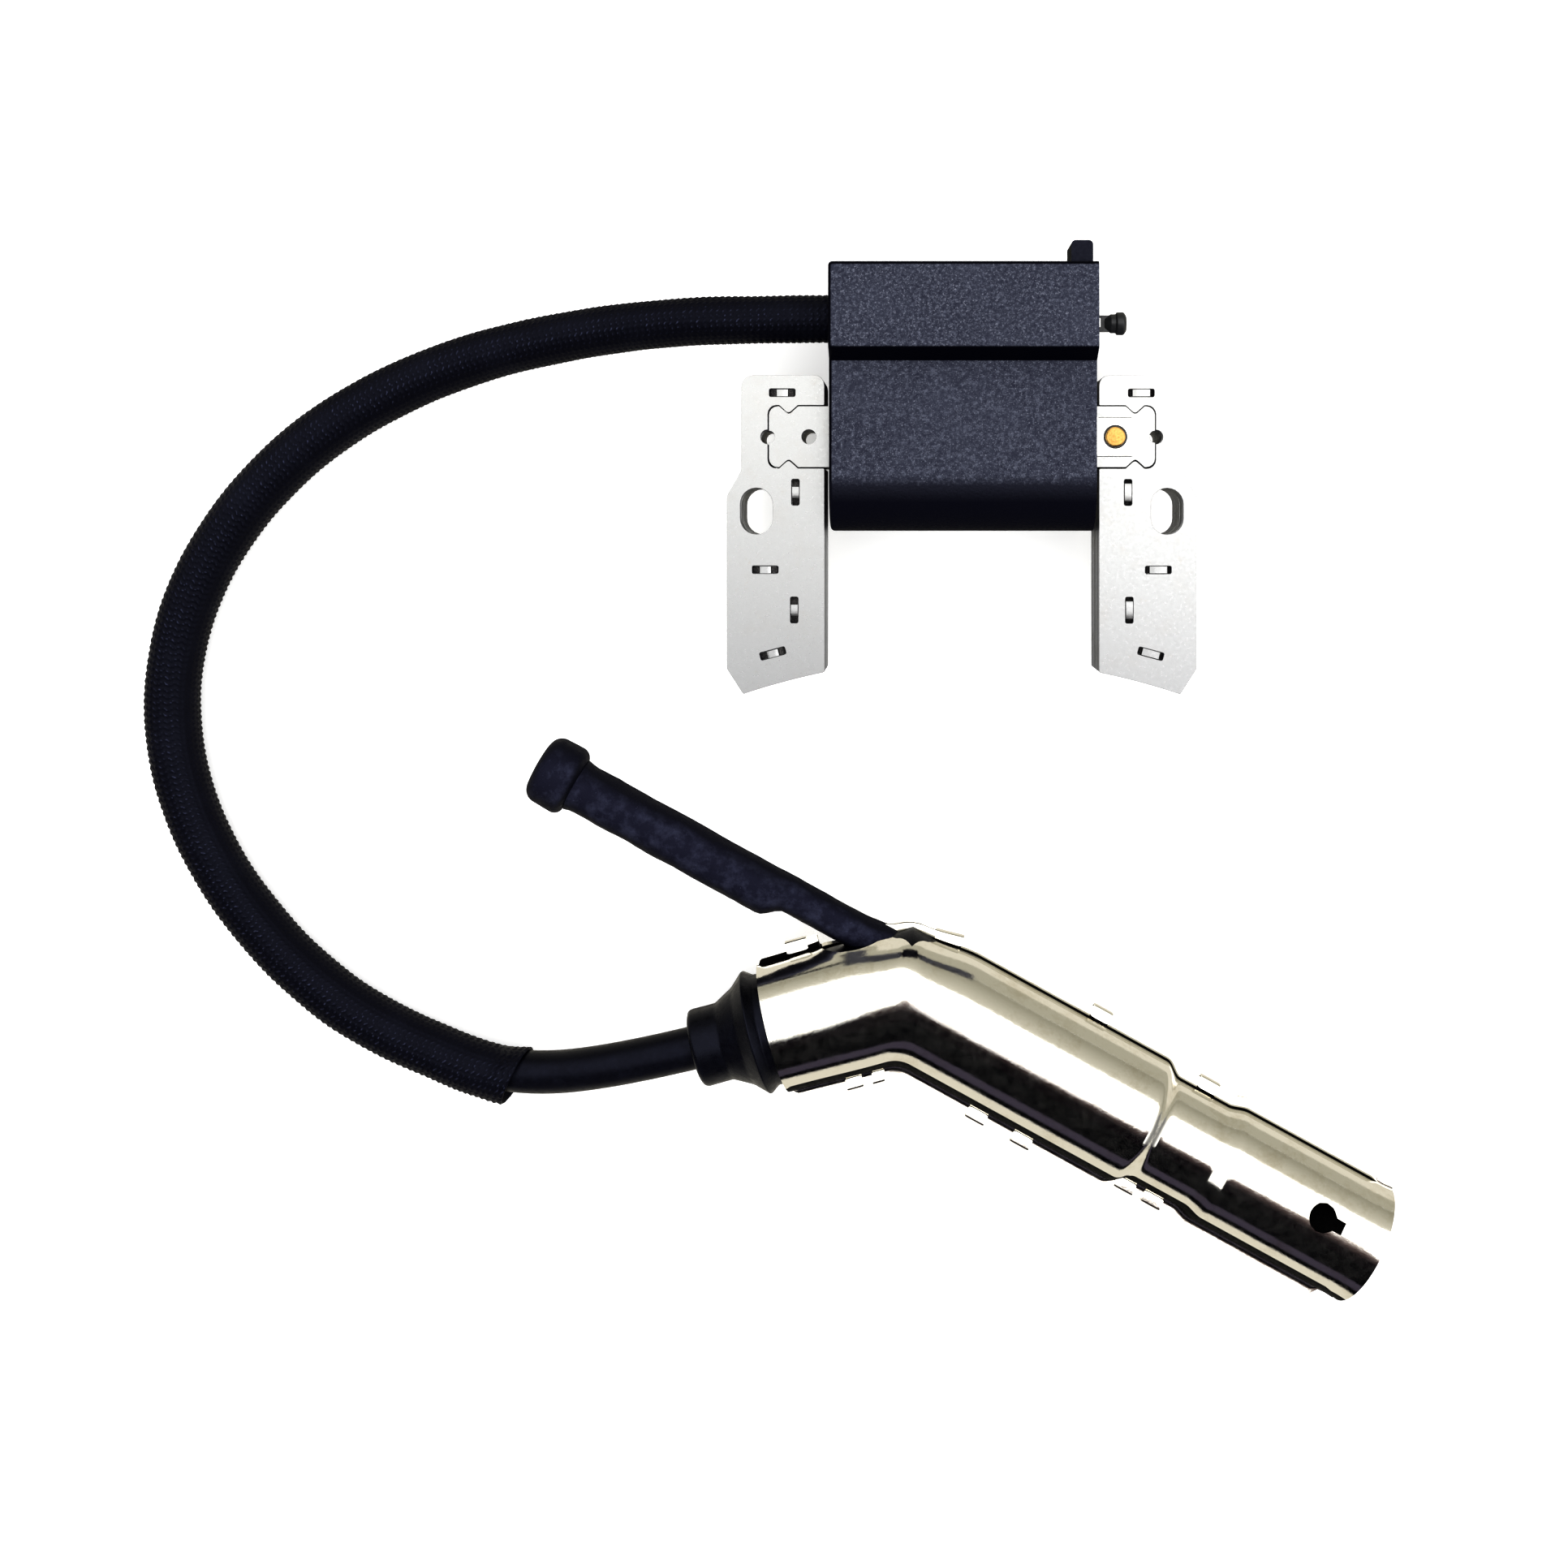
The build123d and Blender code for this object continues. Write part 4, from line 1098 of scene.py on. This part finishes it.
def lance(shape, side, x, y, turn):
    """One pressed interlock: a strip cut along both sides, deep at its ends and bulged between."""
    bright = LANCE_BRIGHT[side]
    profile = [
        (-0.5, -1.1), (-bright - 0.03, -0.8), (-bright, -0.10), (-bright + 0.05, -0.03), (-0.1, 0.02),
    ]
    profile += [(-x, down) for x, down in reversed(profile)]
    width = LANCE_WIDTH - LANCE_GAP
    rings = []
    for along, down in profile:
        ring = []
        for across, drop in ((-0.5, 0), (0.5, 0), (0.5, -LANCE_DEPTH), (-0.5, -LANCE_DEPTH)):
            px, py = turned(along * LANCE_LENGTH, across * width, turn, x, y)
            ring.append((side * px, py, CORE_HIGH + down + drop))
        rings.append(ring)
    shape.rings(rings)


def stack(name, nodes, loops, side=1, lances=(), seed=1):
    """A pile of punched sheets, each a hair out of line with the next."""
    chance = random.Random(seed)
    shape = Shape()
    for k in range(SHEETS):
        low = CORE_LOW + k * SHEET_PITCH
        dx, dy = chance.uniform(-0.03, 0.03), chance.uniform(-0.03, 0.03)
        near_top = k >= SHEETS - 3
        cut = [lance_outline(x, y, turn) for x, y, turn in lances] if near_top else []
        moved = [[(side * (x + dx), y + dy) for x, y in loop] for loop in [*loops, *cut]]
        shape.plate(moved, low, low + SHEET_PITCH - SHEET_GAP, edge=0.05)
    pile = piece(name, shape, STEEL, nodes, sharp=25, weld=0.0001, level=True)
    second_finish(pile, EDGE, lambda face: abs(face.normal.z) < 0.5)
    return pile


def interlocks(side):
    """The strips pressed into each other that hold the sheets together: painted shade on their ends and
    sides, with a bright top of bare steel.
    """
    shape = Shape()
    for x, y, turn in INTERLOCKS:
        lance(shape, side, x, y, turn)
    name = "right_interlocks" if side > 0 else "left_interlocks"
    strips = piece(name, shape, SHADE_BLACK, sharp=25)
    high = (CORE_HIGH - 0.2) * MM
    second_finish(strips, STEEL, lambda face: face.normal.z > 0.8 and face.center.z > high)


def core():
    slot_x, slot_y = FIXING_SLOT["pos_m"][0] / MM, FIXING_SLOT["pos_m"][1] / MM
    slot_long, slot_r = FIXING_SLOT["dims"]["slot_length_mm"], FIXING_SLOT["dims"]["hole_r_mm"]
    slot = stadium(slot_x, slot_y, slot_long, 2 * slot_r, turn=90)
    leg = [leg_outline(), slot]
    stack("right_leg_stack", ["right_core_leg"], leg, 1, INTERLOCKS, seed=3)
    stack("left_leg_stack", ["left_core_leg"], leg, -1, INTERLOCKS, seed=4)
    interlocks(1)
    interlocks(-1)
    pins = [circle(side * RIVET_X, BAR_Y, KEY_HOLE_R) for side in (-1, 1)]
    stack("bar_stack", ["core_bar"], [bar_outline(), *pins], seed=5)


core()


def on_x(x, y, z):
    """A frame for turned parts that stand along X, from the kill terminal's middle."""
    low, high = span("kill_terminal_cap")
    return Vector((x, (low.y + high.y) / 2 + y, (low.z + high.z) / 2 + z))


def kill_cap():
    profile = rounded([
        (22.8, 0.02, 0), (22.8, 0.85, 0.1), (23.75, 1.5, 0.2), (24.5, 1.5, 0.1), (24.7, 1.8, 0.12),
        (25.8, 1.85, 0.5), (26.2, 1.2, 0.4), (26.15, 0.02, 0),
    ], closed=False)
    shape = lathe(dense(profile, 0.25), on_x, columns=48, wobble=0.08)
    piece("stop_terminal_head", shape, moulded("knob_plastic", (0.02, 0.021, 0.024), 0.4),
          ["kill_terminal_cap"])


def rivet():
    """Brass rivet with a slightly domed, hammered head, ringed by a dark band of painted shade."""
    base = CORE_HIGH + 0.5

    def upright(along, side, up):
        return Vector((RIVET_X + side, BAR_Y + up, base + along))

    head = rounded([
        (-0.55, 0.02, 0), (-0.55, 1.62, 0), (0.02, 1.62, 0.12), (0.10, 1.35, 0.2), (0.16, 0.02, 0),
    ], closed=False)
    piece("rivet_head", lathe(dense(head, 0.2), upright, columns=48, wobble=0.05), BRASS,
          ["ground_rivet"])
    # Painted shade: a dark ring round the head.
    ring = [(-0.5, 1.5), (-0.5, 1.9), (0.03, 1.9), (0.03, 1.5)]
    piece("rivet_shade_ring", lathe([*ring, ring[0]], upright, columns=48), SHADE_BLACK)
    back = rounded([
        (-14.2, 0.02, 0), (-14.2, 1.6, 0.25), (-13.55, 1.7, 0.1), (-13.55, 1.1, 0), (-0.5, 1.1, 0),
        (-0.5, 0.02, 0),
    ], closed=False)
    piece("rivet_shank", lathe(dense(back, 1.0), upright, columns=32), BRASS)


STRAP_SHADE_OUT = 0.13


def strap_line():
    """A dark line of painted shade along the thin strap's edges."""
    inner, right = span("ground_strap")[0].x, 27.1
    low, high = span("ground_strap")[0].y - STRAP_SHADE_OUT, span("ground_strap")[1].y + STRAP_SHADE_OUT
    shape = Shape()
    corners = [(inner, low, 0), (right, low, 0.3), (right, high, 0.3), (inner, high, 0)]
    shape.plate([rounded(corners)], CORE_HIGH - 0.05, CORE_HIGH + 0.03, edge=0.01)
    piece("strap_line", shape, SHADE_BLACK)


kill_cap()
rivet()
strap_line()


# ---------------------------------------------------------------- studio

BENCH_HALF = 6.0
BENCH_GLOW = 0.36


def flat(name, points, faces, paint):
    """A plain surface of the studio, from points in metres."""
    mesh = bpy.data.meshes.new(name)
    mesh.from_pydata([tuple(point) for point in points], [], faces)
    mesh.materials.append(paint.material)
    obj = linked(name, mesh)
    return obj


def bench():
    """A pale floor that glows a little, so that it stays white round the object."""
    paint = Paint("pale_floor", (0.93, 0.93, 0.93), 0.6, specular=0.2)
    paint.shader.inputs["Emission Color"].default_value = (1, 1, 1, 1)
    paint.shader.inputs["Emission Strength"].default_value = BENCH_GLOW
    signs = [(-1, -1), (1, -1), (1, 1), (-1, 1)]
    flat("bench", [(BENCH_HALF * x, BENCH_HALF * y, 0) for x, y in signs], [(0, 1, 2, 3)], paint)


def glow(paint, low_colour, high_colour, low, high):
    """Light given off, changing with height in metres."""
    mix = paint.node("ShaderNodeMix", data_type="RGBA")
    mix.inputs["A"].default_value = (*low_colour, 1)
    mix.inputs["B"].default_value = (*high_colour, 1)
    paint.link(paint.span(paint.coordinate("Z"), low, high), mix.inputs["Factor"])
    paint.link(mix.outputs["Result"], paint.shader.inputs["Emission Color"])
    paint.shader.inputs["Emission Strength"].default_value = 1.0


def card(name, profile, paint, ends=(-2.0, 2.0)):
    """A studio board along the cap, from (distance to the side, height) points in metres.

    Only glossy surfaces see it."""
    start = ELBOW * MM
    start.z = 0
    rows = [start + PLUG_SIDE * out + UP * high for out, high in profile]
    points = [row + PLUG_WAY * end for row in rows for end in ends]
    obj = flat(name, points, [(k, k + 1, k + 3, k + 2) for k in range(0, len(points) - 2, 2)], paint)
    obj.visible_camera = False
    obj.visible_diffuse = False
    obj.visible_shadow = False


def board(name, profile, low_colour, high_colour=None, high=1.0, **where):
    """A card that glows in one colour, or from one at the bench to another at a height."""
    paint = Paint(name, (0.0, 0.0, 0.0), 0.9, specular=0.0)
    glow(paint, low_colour, high_colour or low_colour, 0.0, high)
    card(name, profile, paint, **where)


KEY_AT = (0.22, 0.0, 0.6)
KEY_SIZE = 0.4
KEY_POWER = 0.58
DOME = (0.1, 0.6, 0.3, 1.9)
ROOF = 1.45
ROOF_STRIPS = [
    (-0.75, -0.34, (0.004, 0.002, 0.004)),
    (-0.34, -0.22, (0.035, 0.024, 0.026)),
    (-0.22, -0.13, (0.085, 0.060, 0.060)),
    (-0.13, -0.05, (0.22, 0.175, 0.17)),
    (-0.05, 0.03, (0.50, 0.44, 0.42)),
]


def studio():
    """A bright dome, a light over the right leg, and boards that shape the shield's reflections."""
    world = bpy.data.worlds.new("studio")
    bpy.context.scene.world = world
    world.use_nodes = True
    nodes, links = world.node_tree.nodes, world.node_tree.links
    background = nodes["Background"]
    background.inputs["Color"].default_value = (1.0, 0.998, 0.99, 1)
    way = nodes.new("ShaderNodeTexCoord")
    height = nodes.new("ShaderNodeSeparateXYZ")
    dome = nodes.new("ShaderNodeMapRange")
    dome.interpolation_type = "SMOOTHSTEP"
    for key, value in zip(("From Min", "From Max", "To Min", "To Max"), DOME):
        dome.inputs[key].default_value = value
    links.new(way.outputs["Generated"], height.inputs[0])
    links.new(height.outputs["Z"], dome.inputs["Value"])
    links.new(dome.outputs["Result"], background.inputs["Strength"])

    lamp = linked("key", bpy.data.lights.new("key", "AREA"))
    lamp.location = KEY_AT
    lamp.data.size = KEY_SIZE
    lamp.data.energy = KEY_POWER
    lamp.visible_diffuse = False

    board("near_bench", [(-0.54, 0.0006), (0.037, 0.0006)], (0.86, 0.82, 0.71))
    board("far_bench", [(0.037, 0.0006), (0.6, 0.0006)], (0.54, 0.52, 0.43))
    board("side_wall", [(0.6, 0.002), (0.6, 0.486)], (0.38, 0.365, 0.29), (0.80, 0.77, 0.67), high=0.486)
    board("dark_wall", [(-0.55, 0.002), (-0.75, ROOF)], (0.001, 0.001, 0.002))
    board("dusk_strip", [(-0.54, 0.12), (-0.54, 0.29)], (0.075, 0.064, 0.095))
    for k, (near, far, colour) in enumerate(ROOF_STRIPS):
        board(f"roof_{k}", [(near, ROOF), (far, ROOF)], colour, ends=(0.0, 2.0))
    bpy.context.scene.view_settings.view_transform = "Standard"
    bpy.context.scene.view_settings.gamma = 0.8


bench()
studio()
